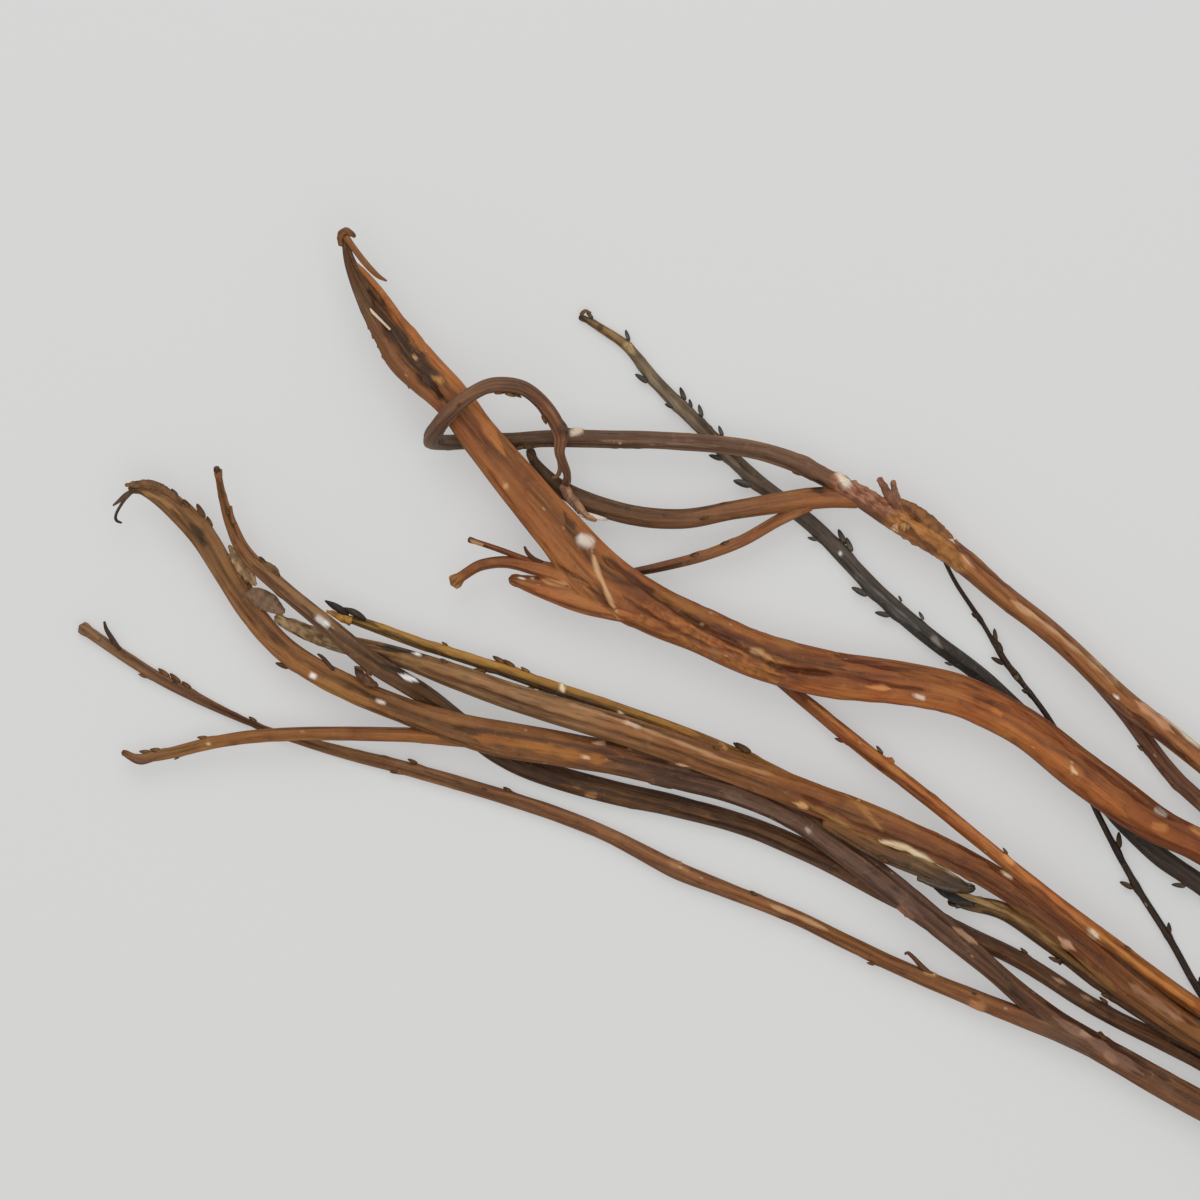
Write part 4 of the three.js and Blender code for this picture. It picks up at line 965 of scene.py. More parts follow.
def length_of_branch(name, path, sides, tint, marks, swells, rng, ribs, ragged, cut_material, roughs=()):
    """One length of branch as a closed, ribbed and marked tube with its colours."""
    rings = len(path.at)
    piece, ring, turn = rolled_sheet(name, rings, sides)
    x, z = np.cos(turn), np.sin(turn)
    along = path.length[ring]
    half_width, half_thick = path.width[ring] / 2, path.thick[ring] / 2
    small = np.minimum(1, half_thick / 4)
    rise = ribbing(x, along, rng, ribs) * small + swelling(turn, along, rng, 0.28) * small
    end = np.minimum(along, path.length[-1] - along)
    rise *= smooth(end / 6) * 0.8 + 0.2
    worn = min(1.0, float(path.width.mean()) / 9)
    dents, shade = cracks_and_nicks(turn, along, (half_width + half_thick) / 2, path.length[-1], rng, worn)
    if ragged:
        tear = smooth(1 - along / ragged)
        rise += tear * half_width * 0.32 * np.sin(3 * turn + along / 2.1) * np.sin(5 * turn - along / 3.3 + 1)
    outward = path.across[ring] * (x / np.maximum(half_width, 0.1))[:, None]
    outward = outward + path.up[ring] * (z / np.maximum(half_thick, 0.1))[:, None]
    outward /= np.linalg.norm(outward, axis=1)[:, None]
    points = path.middle[ring] + path.across[ring] * (x * half_width)[:, None]
    points += path.up[ring] * (z * half_thick)[:, None]
    colours = blend_stops(tint, path.at[ring])
    # painted light and shade: the ribs' crowns are painted lighter and the grooves between them darker, as light and
    # shade would fall on them
    rib_light_and_shade = np.clip(rise, -1, 1)
    colours *= np.where(rib_light_and_shade > 0, 1 + 0.3 * rib_light_and_shade, 1 + 0.5 * rib_light_and_shade)[:, None]
    colours *= np.clip(1 - shade, 0.35, 1.4)[:, None]
    rise += dents * worn
    flat = points[:, :2]
    top = smooth((outward[:, 2] + 0.15) / 0.3)
    for half, lift, low, high, line in roughs:
        away, _, _ = from_line(flat, line)
        reach = smooth(1.6 - away / half) * smooth((outward[:, 2] + 0.7) / 0.5)
        lumps = torn_bark(points, reach)
        rise += lift * lumps * reach
        paler = smooth(lumps * 0.8 + 0.5)[:, None]
        amount = np.clip(reach * 1.3, 0, 0.92)[:, None]
        colours = colours * (1 - amount) + (linear(low) * (1 - paler) + linear(high) * paler) * amount
    for half, lift, code, strength, line in marks:
        away, part, total = from_line(flat, line)
        taper = 1.0 if total < 4 * half else np.clip(np.minimum(part, 1 - part) * total / (2.5 * half), 0.25, 1)
        wander = 1 + 0.25 * np.sin(along / 2.3 + half * 9)
        reach = smooth(1.35 - away / (half * taper * wander)) * top
        rise += lift * reach
        amount = (strength * np.clip(reach * 1.25, 0, 1))[:, None]
        colours = colours * (1 - amount) + linear(code) * amount
    for u, v, size in swells:
        away = np.hypot(flat[:, 0] - u, flat[:, 1] - v)
        rise += 0.1 * size * smooth(1.2 - away / (0.8 * size)) * smooth((outward[:, 2] + 0.8) / 0.6)
    points += outward * rise[:, None]
    piece.data.vertices.foreach_set("co", to_frame(points).ravel())
    # the bark's own coordinates, in metres: u goes round it and v along it
    bark = piece.data.uv_layers.active
    bark.name = "bark_map"
    corner = np.empty(len(piece.data.loops), int)
    piece.data.loops.foreach_get("vertex_index", corner)
    girth = math.pi * (path.width.mean() + path.thick.mean()) / 2
    around = (turn + math.pi / 2) / (2 * math.pi) * girth + rng.uniform(0, 900)
    bark_place = np.stack([around, along + rng.uniform(0, 3000)], axis=1) * MM
    bark.data.foreach_set("uv", bark_place[corner].ravel())
    put_colours(piece.data, colours)
    tip = Vector(to_frame(path.middle[:1])[0])
    close_tube(piece, tip, cut_material)
    return piece


def in_tones(code, dark, light):
    """The same colour code darker and lighter."""
    parts = [int(code[i : i + 2], 16) for i in (0, 2, 4)]
    return ["".join(f"{min(255, round(part * tone)):02x}" for part in parts) for tone in (dark, light)]


def sliver(code, stations, rng):
    """A shred, spur or twig end: a short tapering length with its own colour."""
    path = Path(stations, SLIVER_STEP)
    tint = [(0, code), (len(stations) - 1, code)]
    wide = float(path.width.max())
    roughs = []
    if wide > 3.9:
        line = [station[:2] for station in stations]
        roughs = [(wide, 0.45, *in_tones(code, 0.8, 1.14), line)]
    return length_of_branch("sliver", path, SLIVER_SIDES, tint, [], [], rng, 0.12, 0, None, roughs)


# ---------- buds ----------
def make_bud_model():
    """One resting bud, 1 long, lying along -X with its base at the origin, pressed flat against the bark."""
    bpy.ops.object.select_all(action="DESELECT")
    bpy.ops.mesh.primitive_uv_sphere_add(segments=10, ring_count=8, radius=0.5)
    bud = bpy.context.object
    bud.name = "bud_model"
    for vert in bud.data.vertices:
        far = 0.5 - vert.co.z  # 0 at the base, 1 at the point
        plump = 1.12 - 0.34 * far
        x, y = vert.co.x, vert.co.y
        keel = 1 + 0.08 * math.cos(2 * math.atan2(y, x))
        vert.co = Vector((-far, x * 0.46 * plump * keel, y * 0.4 * plump * keel + 0.1 + 0.1 * far * far))
    bpy.ops.object.mode_set(mode="EDIT")
    bpy.ops.mesh.select_all(action="SELECT")
    bpy.ops.mesh.normals_make_consistent(inside=False)
    bpy.ops.object.mode_set(mode="OBJECT")
    return bud


def make_nub_model():
    """A broken knob of bark, 1 across."""
    bpy.ops.object.select_all(action="DESELECT")
    bpy.ops.mesh.primitive_ico_sphere_add(subdivisions=3, radius=0.5)
    nub = bpy.context.object
    nub.name = "nub_model"
    for vert in nub.data.vertices:
        p = vert.co.copy()
        bulge = 1 + 0.22 * math.sin(9 * p.x + 1) * math.sin(8 * p.y) + 0.16 * math.sin(15 * p.z + 7 * p.x)
        if p.x < -0.28:
            bulge *= 0.86  # the broken face
        vert.co = Vector((p.x * 1.15, p.y * 0.95, p.z * 0.8)) * bulge
    return nub


bud_model = make_bud_model()
nub_model = make_nub_model()


def copy_onto(model, turn, place, size, colours):
    """A copy of a model with its own mesh, turned, sized and moved to its place in metres."""
    piece = model.copy()
    piece.data = model.data.copy()
    bpy.context.collection.objects.link(piece)
    count = len(piece.data.vertices)
    co = np.empty(count * 3)
    piece.data.vertices.foreach_get("co", co)
    co = co.reshape(-1, 3)
    shade = colours(co)
    co = co.dot(np.array(turn).T) * size * MM + np.array(place)
    piece.data.vertices.foreach_set("co", co.ravel())
    put_colours(piece.data, shade)
    layer = piece.data.uv_layers.active
    layer.name = "bark_map"
    uv = np.empty(len(piece.data.loops) * 2)
    layer.data.foreach_get("uv", uv)
    layer.data.foreach_set("uv", uv * size * 3 * MM)
    return piece


def on_branch(paths, u, v, rng):
    """Where a bud sits: its place, the way its branch's tip lies, and the way out from the bark."""
    found = [(path,) + path.nearest(u, v) for path in paths]
    path, i, off, _ = min(found, key=lambda f: max(0, f[3] - f[0].width[f[1]] / 2))
    half_width, half_thick = path.width[i] / 2, path.thick[i] / 2
    x = max(-1.0, min(1.0, off / half_width))
    z = math.sqrt(max(0.0, 1 - x * x))
    if abs(x) > 0.96:
        z = rng.uniform(-0.05, 0.3)
    place = path.middle[i] + path.across[i] * (x * half_width) + path.up[i] * (z * half_thick)
    out = path.across[i] * (x / half_width) + path.up[i] * (z / half_thick)
    return place, -path.along[i], out / np.linalg.norm(out)


def layout_turn(towards, out):
    """A turn whose -X is the given way and whose Z points out, in the frame."""
    c, s = math.cos(BUNCH_TURN), math.sin(BUNCH_TURN)
    spin = np.array([[c, -s, 0], [s, c, 0], [0, 0, 1]])
    x = -spin.dot(towards)
    z = spin.dot(out)
    z = z - x * z.dot(x)
    z /= np.linalg.norm(z)
    y = np.cross(z, x)
    return np.stack([x, y, z], axis=1)


def bud_piece(paths, u, v, size, lean, shades, rng):
    """A bud at a place on the branch; it leans out by so many degrees, with a paler edge to its scales."""
    place, towards, out = on_branch(paths, u, v, rng)
    lean = math.radians(rng.uniform(*lean))
    towards = towards * math.cos(lean) + out * math.sin(lean)
    dark = linear(rng.choice(shades[0]))
    pale = linear(rng.choice(shades[1]))

    def colours(co):
        far = np.clip(-co[:, 0], 0, 1)[:, None]
        side = np.clip(np.abs(co[:, 1])[:, None] * 5.5 - 0.35, 0, 1)
        scale = np.clip(np.sin(far * 8 + co[:, 1:2] * 6), 0, 1) * 0.3
        edge = np.clip(side * 0.7 + scale + np.clip(1 - far * 6, 0, 1) * 0.4, 0, 1)
        return dark * (1 - edge) + pale * edge

    start = to_frame(np.array([place - out * 0.05 * size]))[0]
    return copy_onto(bud_model, layout_turn(towards, out), start, size * 1.2, colours)


def nub_piece(paths, u, v, size, code, rng):
    place, towards, out = on_branch(paths, u, v, rng)
    twist = rng.uniform(-0.6, 0.6)
    side = np.cross(towards, out)
    towards = towards * math.cos(twist) + side * math.sin(twist)
    base = linear(code)

    def colours(co):
        # painted light and shade: each knob is painted lighter towards its top and darker towards its base against the
        # bark
        high = np.clip(co[:, 2] + 0.5, 0, 1)[:, None]
        spots = (0.75 + 0.5 * np.sin(co[:, 0] * 19 + 2) * np.sin(co[:, 1] * 17))[:, None]
        return base * (0.7 + 0.4 * high) * (0.8 + 0.25 * spots)

    start = to_frame(np.array([place - out * size * 0.12]))[0]
    return copy_onto(nub_model, layout_turn(towards, out), start, size, colours)


def unite(piece, others):
    """Adds the other solids to the piece, and deletes them."""
    for other in others:
        bpy.ops.object.select_all(action="DESELECT")
        bpy.context.view_layer.objects.active = piece
        piece.select_set(True)
        cut = piece.modifiers.new("cut", "BOOLEAN")
        cut.operation = "UNION"
        cut.solver = "EXACT"
        cut.object = other
        bpy.ops.object.modifier_apply(modifier="cut")
        bpy.data.objects.remove(other)


def join(piece, others):
    if not others:
        return piece
    bpy.ops.object.select_all(action="DESELECT")
    for other in others:
        other.select_set(True)
    piece.select_set(True)
    bpy.context.view_layer.objects.active = piece
    bpy.ops.object.join()
    return piece


# ---------- finishes ----------
def new_group(name, inputs, outputs):
    """A shader node group with named inputs (name, kind, value) and outputs (name, kind)."""
    group = bpy.data.node_groups.new(name, "ShaderNodeTree")
    for label, kind, value in inputs:
        socket = group.interface.new_socket(name=label, in_out="INPUT", socket_type=kind)
        if value is not None:
            socket.default_value = value
    for label, kind in outputs:
        group.interface.new_socket(name=label, in_out="OUTPUT", socket_type=kind)
    return group, group.nodes.new("NodeGroupInput").outputs, group.nodes.new("NodeGroupOutput").inputs


def node(tree, kind, links=(), **settings):
    made = tree.nodes.new(kind)
    for key, value in settings.items():
        setattr(made, key, value)
    for socket, value in links:
        target = made.inputs[socket]
        if isinstance(value, bpy.types.NodeSocket):
            tree.links.new(value, target)
        else:
            target.default_value = value
    return made


def math_node(tree, what, a, b=None, clamp=False):
    links = [(0, a)] + ([(1, b)] if b is not None else [])
    return node(tree, "ShaderNodeMath", links, operation=what, use_clamp=clamp).outputs[0]


def spread(tree, value, low, high, out_low=0.0, out_high=1.0):
    made = node(tree, "ShaderNodeMapRange", [(0, value), (1, low), (2, high), (3, out_low), (4, out_high)])
    made.interpolation_type = "SMOOTHSTEP"
    return made.outputs[0]


def stretched(tree, vector, across, along):
    """The bark's coordinates with so many features to the metre across it and along it."""
    scale = node(tree, "ShaderNodeCombineXYZ", [(0, across), (1, along), (2, 1.0)])
    made = node(tree, "ShaderNodeVectorMath", [(0, vector), (1, scale.outputs[0])], operation="MULTIPLY")
    return made.outputs[0]


def make_bark_streaks():
    """Fibres and cracks that run along the bark."""
    group, put, out = new_group(
        "bark_streaks",
        [("Bark", "NodeSocketVector", None), ("Across", "NodeSocketFloat", 430.0), ("Along", "NodeSocketFloat", 26.0)],
        [("Pale fibres", "NodeSocketFloat"), ("Dark cracks", "NodeSocketFloat"), ("Height", "NodeSocketFloat")],
    )
    coarse_at = stretched(group, put["Bark"], put["Across"], put["Along"])
    coarse = node(group, "ShaderNodeTexNoise", [("Vector", coarse_at), ("Scale", 1.0), ("Detail", 5.0),
                                                ("Roughness", 0.62), ("Distortion", 0.5)]).outputs["Fac"]
    fine_across = math_node(group, "MULTIPLY", put["Across"], 2.6)
    fine_along = math_node(group, "MULTIPLY", put["Along"], 2.4)
    fine_at = stretched(group, put["Bark"], fine_across, fine_along)
    fine = node(group, "ShaderNodeTexNoise", [("Vector", fine_at), ("Scale", 1.0), ("Detail", 3.0),
                                              ("Roughness", 0.6)]).outputs["Fac"]
    both = math_node(
        group, "ADD", math_node(group, "MULTIPLY", coarse, 0.62), math_node(group, "MULTIPLY", fine, 0.38)
    )
    group.links.new(spread(group, both, 0.51, 0.63), out["Pale fibres"])
    group.links.new(spread(group, both, 0.47, 0.35), out["Dark cracks"])
    group.links.new(both, out["Height"])
    return group


def make_bark_clouds():
    """Broad changes of tone over the bark, and scuffed patches."""
    group, put, out = new_group(
        "bark_clouds",
        [("Place", "NodeSocketVector", None), ("Scale", "NodeSocketFloat", 45.0)],
        [("Cloud", "NodeSocketFloat"), ("Scuff", "NodeSocketFloat"), ("Blotch", "NodeSocketFloat")],
    )
    cloud = node(group, "ShaderNodeTexNoise", [("Vector", put["Place"]), ("Scale", put["Scale"]), ("Detail", 3.0),
                                               ("Roughness", 0.55)]).outputs["Fac"]
    group.links.new(spread(group, cloud, 0.32, 0.68), out["Cloud"])
    finer = math_node(group, "MULTIPLY", put["Scale"], 5.5)
    scuff = node(group, "ShaderNodeTexNoise", [("Vector", put["Place"]), ("Scale", finer), ("Detail", 6.0),
                                               ("Roughness", 0.7), ("Distortion", 0.8)]).outputs["Fac"]
    group.links.new(spread(group, scuff, 0.56, 0.7), out["Scuff"])
    group.links.new(spread(group, scuff, 0.45, 0.3), out["Blotch"])
    return group


def make_breathing_pores():
    """The small pale pores of the bark, a little longer than wide."""
    group, put, out = new_group(
        "breathing_pores",
        [("Bark", "NodeSocketVector", None), ("Count", "NodeSocketFloat", 120.0), ("Amount", "NodeSocketFloat", 0.5)],
        [("Pore", "NodeSocketFloat")],
    )
    along = math_node(group, "MULTIPLY", put["Count"], 0.5)
    at = stretched(group, put["Bark"], put["Count"], along)
    cells = node(group, "ShaderNodeTexVoronoi", [("Vector", at), ("Scale", 1.0), ("Randomness", 1.0)])
    dot = spread(group, cells.outputs["Distance"], 0.13, 0.05)
    chosen = node(group, "ShaderNodeSeparateColor", [(0, cells.outputs["Color"])]).outputs[0]
    kept = math_node(group, "LESS_THAN", chosen, put["Amount"])
    group.links.new(math_node(group, "MULTIPLY", dot, kept), out["Pore"])
    return group


bark_streaks = make_bark_streaks()
bark_clouds = make_bark_clouds()
breathing_pores = make_breathing_pores()


def mix(tree, factor, a, b, blend="MIX"):
    made = node(tree, "ShaderNodeMix", data_type="RGBA", blend_type=blend)
    for socket, value in ((0, factor), (6, a), (7, b)):
        if isinstance(value, bpy.types.NodeSocket):
            tree.links.new(value, made.inputs[socket])
        else:
            made.inputs[socket].default_value = value
    return made.outputs[2]


def code_colour(code):
    return (*linear(code), 1)


def new_material(name):
    material = bpy.data.materials.new(name)
    material.use_nodes = True
    tree = material.node_tree
    return material, tree, tree.nodes["Principled BSDF"]


def bark_finish(name, pale, dark, warm, streak=0.5, pores=0.3, gloss=0.42, across=430.0, along=24.0):
    """Satin willow bark over the branch's own tints, with painted shade darkening it towards the stem's outline."""
    material, tree, shader = new_material(name)
    tint = node(tree, "ShaderNodeAttribute", attribute_name="tint", attribute_type="GEOMETRY").outputs["Color"]
    bark = node(tree, "ShaderNodeUVMap", uv_map="bark_map").outputs[0]
    place = node(tree, "ShaderNodeTexCoord").outputs["Object"]
    streaks = node(tree, "ShaderNodeGroup", node_tree=bark_streaks)
    tree.links.new(bark, streaks.inputs["Bark"])
    streaks.inputs["Across"].default_value = across
    streaks.inputs["Along"].default_value = along
    clouds = node(tree, "ShaderNodeGroup", node_tree=bark_clouds)
    tree.links.new(place, clouds.inputs["Place"])
    clouds.inputs["Scale"].default_value = 42.0
    pore = node(tree, "ShaderNodeGroup", node_tree=breathing_pores)
    tree.links.new(bark, pore.inputs["Bark"])
    pore.inputs["Count"].default_value = 150.0
    pore.inputs["Amount"].default_value = pores
    warmed = mix(tree, math_node(tree, "MULTIPLY", clouds.outputs["Cloud"], 0.35), tint, code_colour(warm), "OVERLAY")
    fibres = math_node(tree, "MULTIPLY", streaks.outputs["Pale fibres"], streak)
    paled = mix(tree, fibres, warmed, code_colour(pale), "SCREEN")
    cracks = math_node(tree, "MULTIPLY", streaks.outputs["Dark cracks"], streak * 1.0)
    cracked = mix(tree, cracks, paled, code_colour(dark), "MULTIPLY")
    dotted = mix(tree, math_node(tree, "MULTIPLY", pore.outputs["Pore"], 0.45), cracked, code_colour("c8a47c"))
    scuffed = mix(tree, math_node(tree, "MULTIPLY", clouds.outputs["Scuff"], 0.2), dotted, code_colour("b08c64"))
    blotched = mix(tree, math_node(tree, "MULTIPLY", clouds.outputs["Blotch"], 0.25), scuffed, code_colour("786858"),
                   "MULTIPLY")
    # painted shade: the bark colour is darkened towards each stem's outline, where its surface turns away from the
    # camera
    facing = node(tree, "ShaderNodeLayerWeight", [("Blend", 0.5)]).outputs["Facing"]
    rim = spread(tree, facing, 0.62, 0.98, 0.0, 0.6)
    edge_shaded = mix(tree, rim, blotched, code_colour("84766a"), "MULTIPLY")
    tree.links.new(edge_shaded, shader.inputs["Base Color"])
    dull = math_node(tree, "MULTIPLY", streaks.outputs["Height"], 0.28)
    rough = math_node(tree, "ADD", dull, gloss)
    rough = math_node(tree, "ADD", rough, math_node(tree, "MULTIPLY", clouds.outputs["Scuff"], 0.15), clamp=True)
    tree.links.new(rough, shader.inputs["Roughness"])
    raised = math_node(
        tree, "SUBTRACT", streaks.outputs["Height"], math_node(tree, "MULTIPLY", pore.outputs["Pore"], -0.25)
    )
    bump = node(tree, "ShaderNodeBump", [("Height", raised), ("Distance", 0.0015), ("Strength", 0.95)])
    tree.links.new(bump.outputs[0], shader.inputs["Normal"])
    shader.inputs["Specular IOR Level"].default_value = 0.3
    return material


def cut_wood_finish():
    """Sawn end: pale wood with rings, a darker rim and soft pith in the middle."""
    material, tree, shader = new_material("sawn_wood")
    spot = node(tree, "ShaderNodeUVMap", uv_map="bark_map").outputs[0]
    out = node(tree, "ShaderNodeVectorMath", [(0, spot)], operation="LENGTH").outputs["Value"]
    rings = node(tree, "ShaderNodeTexNoise", [("Vector", spot), ("Scale", 420.0), ("Detail", 4.0)]).outputs["Fac"]
    bent = math_node(tree, "ADD", out, math_node(tree, "MULTIPLY", rings, 0.0009))
    wave = math_node(tree, "SINE", math_node(tree, "MULTIPLY", bent, 5200.0))
    grain = spread(tree, wave, -1.0, 1.0)
    wood = mix(tree, math_node(tree, "MULTIPLY", grain, 0.5), code_colour("cdb088"), code_colour("a98558"))
    pith = spread(tree, bent, 0.0019, 0.0011)
    whole = mix(tree, pith, wood, code_colour("7a5434"))
    checks = spread(tree, rings, 0.62, 0.7)
    tree.links.new(mix(tree, math_node(tree, "MULTIPLY", checks, 0.6), whole, code_colour("5a4028")),
                   shader.inputs["Base Color"])
    shader.inputs["Roughness"].default_value = 0.78
    height = math_node(tree, "ADD", grain, rings)
    bump = node(tree, "ShaderNodeBump", [("Height", height), ("Distance", 0.0004), ("Strength", 0.5)])
    tree.links.new(bump.outputs[0], shader.inputs["Normal"])
    return material


def twine_finish():
    """Natural twine: tan fibres that follow the lay of the strands."""
    material, tree, shader = new_material("natural_twine")
    lay = node(tree, "ShaderNodeUVMap", uv_map="bark_map").outputs[0]
    streaks = node(tree, "ShaderNodeGroup", node_tree=bark_streaks)
    tree.links.new(lay, streaks.inputs["Bark"])
    streaks.inputs["Across"].default_value = 2600.0
    streaks.inputs["Along"].default_value = 190.0
    place = node(tree, "ShaderNodeTexCoord").outputs["Object"]
    clouds = node(tree, "ShaderNodeGroup", node_tree=bark_clouds)
    tree.links.new(place, clouds.inputs["Place"])
    clouds.inputs["Scale"].default_value = 90.0
    base = mix(tree, clouds.outputs["Cloud"], code_colour("a98a5c"), code_colour("c4a878"))
    pale = mix(tree, math_node(tree, "MULTIPLY", streaks.outputs["Pale fibres"], 0.7), base, code_colour("e0cba0"))
    dark = mix(tree, math_node(tree, "MULTIPLY", streaks.outputs["Dark cracks"], 0.7), pale, code_colour("6c5230"))
    tree.links.new(dark, shader.inputs["Base Color"])
    shader.inputs["Roughness"].default_value = 0.92
    shader.inputs["Sheen Weight"].default_value = 0.25
    shader.inputs["Sheen Roughness"].default_value = 0.5
    bump = node(tree, "ShaderNodeBump", [("Height", streaks.outputs["Height"]), ("Distance", 0.0006), ("Strength", 0.9)])
    tree.links.new(bump.outputs[0], shader.inputs["Normal"])
    return material


FINISHES = {
    "broad_russet_stem": dict(pale="7a4c28", dark="6a4228", warm="a46a3c", streak=0.55, gloss=0.36, along=20.0),
    "looped_mauve_stem": dict(pale="6a4e3c", dark="70503c", warm="8c6a54", streak=0.5, gloss=0.4),
    "brown_side_stem": dict(pale="5c4434", dark="60483a", warm="80604c", streak=0.5, gloss=0.42),
    "slate_budded_stem": dict(pale="4c4840", dark="5a5650", warm="7a7468", streak=0.45, pores=0.5, gloss=0.42),
    "dark_thin_twig": dict(pale="3c3028", dark="605040", warm="746050", streak=0.4, gloss=0.45),
    "slim_orange_stem": dict(pale="744a24", dark="7a4c2c", warm="b0743c", streak=0.5, gloss=0.36),
    "fanned_purple_stem": dict(pale="5c4432", dark="64483a", warm="8a644c", streak=0.55, gloss=0.4),
    "olive_weaving_stem": dict(pale="54402c", dark="604a34", warm="866244", streak=0.55, gloss=0.4),
    "slim_olive_stem": dict(pale="66502a", dark="70582c", warm="9c7a40", streak=0.5, gloss=0.36),
    "ridged_brown_stem": dict(pale="64482c", dark="684830", warm="96704a", streak=0.6, gloss=0.38),
    "torn_olive_stem": dict(pale="54442c", dark="5c4830", warm="866a44", streak=0.6, gloss=0.42),
}
BROWN_BUDS = (("4a3220", "5a3c26", "3c2a1c"), ("8a6844", "9c7850", "7c5c3c"))
sawn_wood = cut_wood_finish()
natural_twine = twine_finish()

# ---------- making the branches ----------
FIRST_SEED = 40
SIDE_BRANCH_SIDES = 0.55  # a side branch has fewer sides and lower ribs than the main one
SIDE_BRANCH_LEAST = 16
SIDE_BRANCH_RIBS = 0.7
THICK_BRANCH = 5  # mm
RAGGED_TIP = 9  # mm of torn tip
RAGGED_THIN_TIP = 4

for number, (name, branch) in enumerate(BRANCHES.items()):
    rng = random.Random(FIRST_SEED + number)
    paths = [list(stations) for stations in branch["paths"]]
    paths[0] = paths[0] + butt_end(*branch["butt"])
    routes = [Path(stations, RING_STEP) for stations in paths]
    swells = [bud[:3] for bud in branch["buds"]]
    finish = bark_finish(branch["slot"], **FINISHES[name])
    solids = []
    for k, route in enumerate(routes):
        thickest = max(route.thick)
        sides = branch["sides"] if k == 0 else max(SIDE_BRANCH_LEAST, int(branch["sides"] * SIDE_BRANCH_SIDES))
        ragged = RAGGED_TIP if thickest > THICK_BRANCH else RAGGED_THIN_TIP
        solid = length_of_branch(
            f"{name}_bark", route, sides, branch["tints"][k], branch["marks"], swells, rng,
            branch["ribs"] if k == 0 else branch["ribs"] * SIDE_BRANCH_RIBS, ragged,
            sawn_wood if k == 0 else None,
            branch.get("roughs", ()),
        )
        for material in (finish, sawn_wood):
            solid.data.materials.append(material)
        solids.append(solid)
    bark = solids[0]
    unite(bark, solids[1:])
    shreds = [sliver(code, stations, rng) for code, stations in branch["slivers"]]
    shreds += [nub_piece(routes, u, v, size, code, rng) for u, v, size, code in branch["nubs"]]
    for shred in shreds:
        shred.data.materials.append(finish)
    join(bark, shreds)
    for polygon in bark.data.polygons:
        polygon.use_smooth = True
    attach(bark, "root")
    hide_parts(name)
    if branch["buds"]:
        lean = branch.get("bud_lean", (1, 8))
        shades = branch.get("bud_shades", BROWN_BUDS)
        buds = [bud_piece(routes, u, v, size, lean, shades, rng) for u, v, size in branch["buds"]]
        first = join(buds[0], buds[1:])
        first.name = f"{name}_buds"
        first.data.name = first.name
        first.data.materials.append(bark_finish(
            f"{branch['slot']}_bud_scales", pale="4a3828", dark="50402e", warm="7a5c40",
            streak=0.35, pores=0.0, gloss=0.5, across=900.0,
        ))
        for polygon in first.data.polygons:
            polygon.use_smooth = True
        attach(first, "root")

bpy.data.objects.remove(bud_model)
bpy.data.objects.remove(nub_model)


# ---------- the twine ----------
TWINE_SIDES = 28
TWINE_STEP = 1.1
STRANDS = 3
TWINE_LAY = 9.0  # mm for the strands to go once round each other


def twine_tube(name, route):
    """Three-strand twine along a route of layout points."""
    route = np.array(route, float)
    runs = np.concatenate([[0], np.cumsum(np.linalg.norm(np.diff(route, axis=0), axis=1))])
    rings = max(4, int(runs[-1] / TWINE_STEP))
    wanted = np.linspace(0, runs[-1], rings)
    middle = np.stack([np.interp(wanted, runs, route[:, k]) for k in range(3)], axis=1)
    along = np.gradient(middle, axis=0)
    along /= np.linalg.norm(along, axis=1)[:, None]
    across = np.cross(along, [0.3, 0.2, 1.0])
    across /= np.linalg.norm(across, axis=1)[:, None]
    carried = [across[0]]
    for a in along[1:]:
        c = carried[-1] - a * carried[-1].dot(a)
        carried.append(c / np.linalg.norm(c))
    across = np.array(carried)
    up = np.cross(along, across)
    piece, ring, turn = rolled_sheet(name, rings, TWINE_SIDES)
    lay = wanted[ring] / TWINE_LAY * 2 * math.pi
    radius = TWINE / 2 * (0.84 + 0.16 * np.abs(np.cos(STRANDS * (turn + lay) / 2)))
    end = np.minimum(wanted[ring], runs[-1] - wanted[ring])
    radius = radius * (0.35 + 0.65 * smooth(end / 2))
    points = middle[ring] + across[ring] * (np.cos(turn) * radius)[:, None]
    points += up[ring] * (np.sin(turn) * radius)[:, None]
    piece.data.vertices.foreach_set("co", to_frame(points).ravel())
    layer = piece.data.uv_layers.active
    layer.name = "bark_map"
    corner = np.empty(len(piece.data.loops), int)
    piece.data.loops.foreach_get("vertex_index", corner)
    uv = np.stack([(turn + lay) * TWINE / 2, wanted[ring]], axis=1) * MM
    layer.data.foreach_set("uv", uv[corner].ravel())
    put_colours(piece.data, np.ones((len(piece.data.vertices), 3)))
    close_tube(piece, Vector(to_frame(middle[:1])[0]), None)
    piece.data.materials.append(natural_twine)
    for polygon in piece.data.polygons:
        polygon.use_smooth = True
    return piece


def round_bundle(along, angle, radius):
    """A layout point on the twine: how far along the bundle, the angle round it and how far out."""
    u, v, z, _, _ = in_bundle(along, radius * math.cos(angle), radius * math.sin(angle), 0, 0)
    return (u, v, z)


WRAP_RADIUS = TIE_INNER + TWINE / 2
KNOT_ANGLE = math.radians(38)
half_band = TIE_TURNS * TWINE / 2
wraps = []
steps_per_turn = 72
turns = TIE_TURNS - 1
wobble_height = 0.12
wobble_pace = 0.37
for step in range(turns * steps_per_turn + 1):
    part = step / (turns * steps_per_turn)
    wobble = wobble_height * math.sin(step * wobble_pace)
    wraps.append(round_bundle(
        -half_band + TWINE / 2 + part * (2 * half_band - TWINE),
        KNOT_ANGLE + step / steps_per_turn * 2 * math.pi,
        WRAP_RADIUS + wobble))
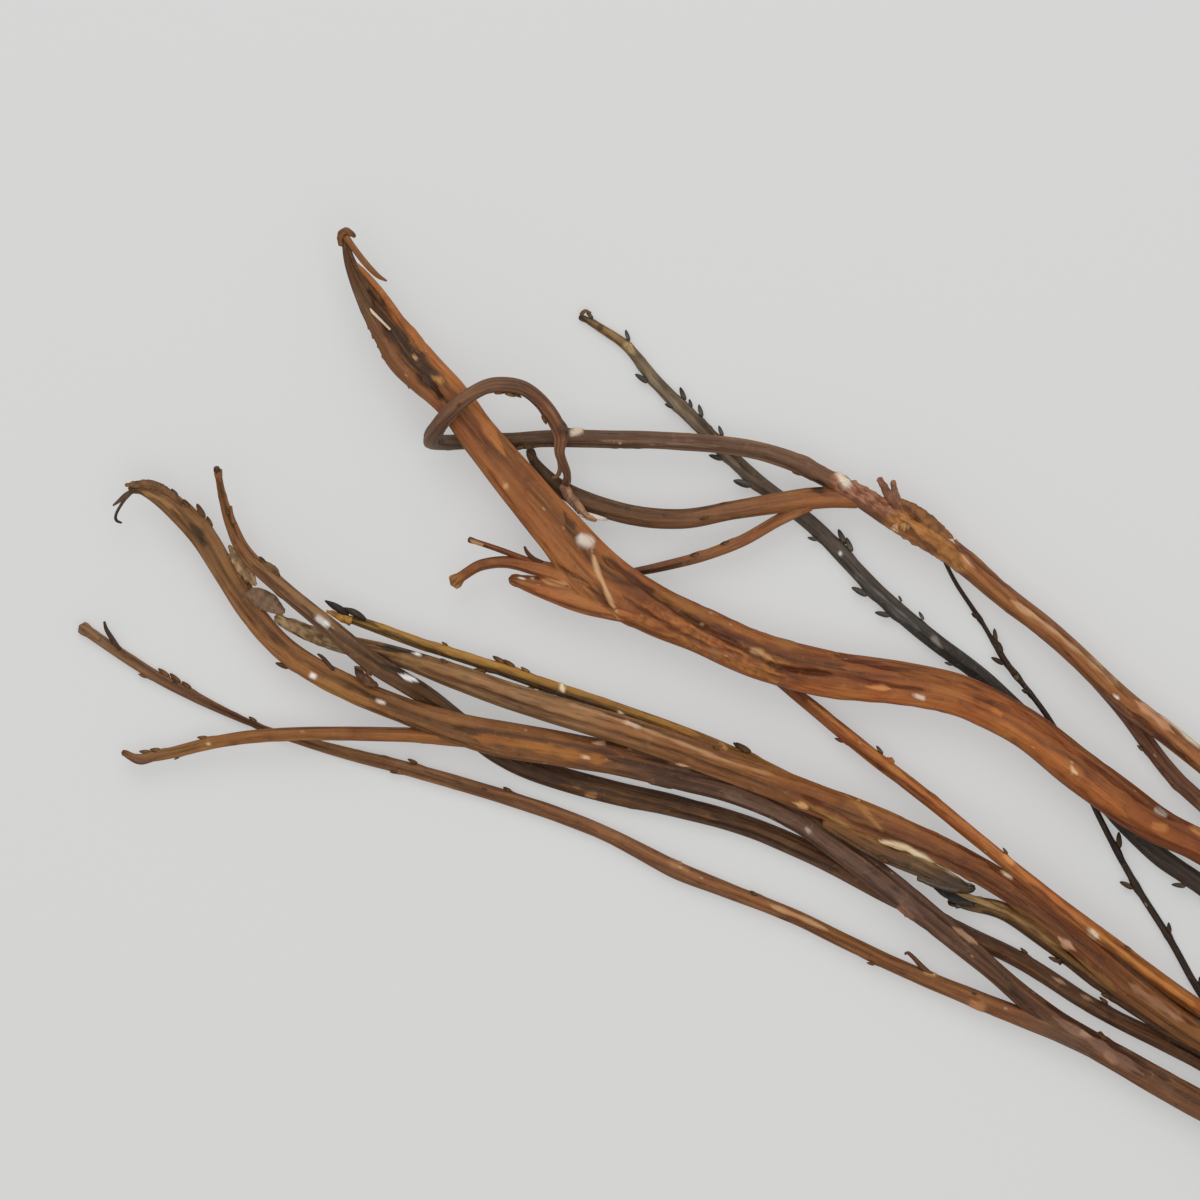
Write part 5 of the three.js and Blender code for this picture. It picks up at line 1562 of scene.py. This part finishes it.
# the two ends cross over the wraps, go under them and stick out as short tails
start_tail = [round_bundle(a, KNOT_ANGLE + t, r) for a, t, r in (
    (17, 0.5, WRAP_RADIUS - 1.4), (14, 0.36, WRAP_RADIUS - 0.2), (11.5, 0.26, WRAP_RADIUS + 1.6),
    (8, 0.2, WRAP_RADIUS + 3), (0, 0.1, WRAP_RADIUS + 3.2), (-6, 0.02, WRAP_RADIUS + 2.6),
    (-8.6, -0.03, WRAP_RADIUS + 0.8))]
end_tail = [round_bundle(a, KNOT_ANGLE + t, r) for a, t, r in (
    (8.6, 0.06, WRAP_RADIUS + 0.8), (6, -0.02, WRAP_RADIUS + 2.6), (0, -0.1, WRAP_RADIUS + 3.2),
    (-8, -0.2, WRAP_RADIUS + 3), (-11.5, -0.27, WRAP_RADIUS + 1.6), (-15, -0.4, WRAP_RADIUS - 0.2),
    (-18, -0.52, WRAP_RADIUS - 1.2))]
tie = twine_tube("twine_band", start_tail + wraps + end_tail)
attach(tie, "root")
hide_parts("twine_tie")

# ---------- floor, light and camera ----------
bpy.ops.object.select_all(action="DESELECT")
bpy.ops.mesh.primitive_plane_add(size=8, location=(BUNCH_SHIFT.x * MM, BUNCH_SHIFT.y * MM, 0))
table_top = bpy.context.object
table_top.name = "table_top"
paper, tree, shader = new_material("pale_paper")
shader.inputs["Base Color"].default_value = (0.3, 0.3, 0.298, 1)
shader.inputs["Emission Color"].default_value = (1, 1, 0.993, 1)
shader.inputs["Emission Strength"].default_value = 0.36
shader.inputs["Roughness"].default_value = 0.9
table_top.data.materials.append(paper)

world = bpy.data.worlds.new("soft_room")
world.use_nodes = True
world.node_tree.nodes["Background"].inputs["Color"].default_value = (1, 1, 1, 1)
world.node_tree.nodes["Background"].inputs["Strength"].default_value = 0.55
scene.world = world


def soft_light(name, place, aim, size, power):
    lamp = bpy.data.lights.new(name, "AREA")
    lamp.shape = "SQUARE"
    lamp.size = size
    lamp.energy = power
    item = bpy.data.objects.new(name, lamp)
    item.location = place
    item.rotation_euler = (Vector(aim) - Vector(place)).to_track_quat("-Z", "Y").to_euler()
    scene.collection.objects.link(item)


soft_light("window", (-1.6, 1.5, 2.2), (-0.3, 0, 0), 2.2, 30)
soft_light("overhead", (0.2, -0.4, 2.6), (-0.1, 0, 0), 2.6, 20)

lens = bpy.data.cameras.new("camera")
lens.lens = 200
lens.sensor_width = 36
FRAME_WIDTH = 600 * MM
camera = bpy.data.objects.new("camera", lens)
camera.location = (BUNCH_SHIFT.x * MM, BUNCH_SHIFT.y * MM, FRAME_WIDTH * lens.lens / lens.sensor_width)
camera.rotation_euler = (0, 0, BUNCH_TURN)
lens.clip_end = 50
scene.collection.objects.link(camera)
scene.camera = camera
scene.view_settings.view_transform = "Standard"
scene.view_settings.look = "None"

bpy.context.view_layer.update()
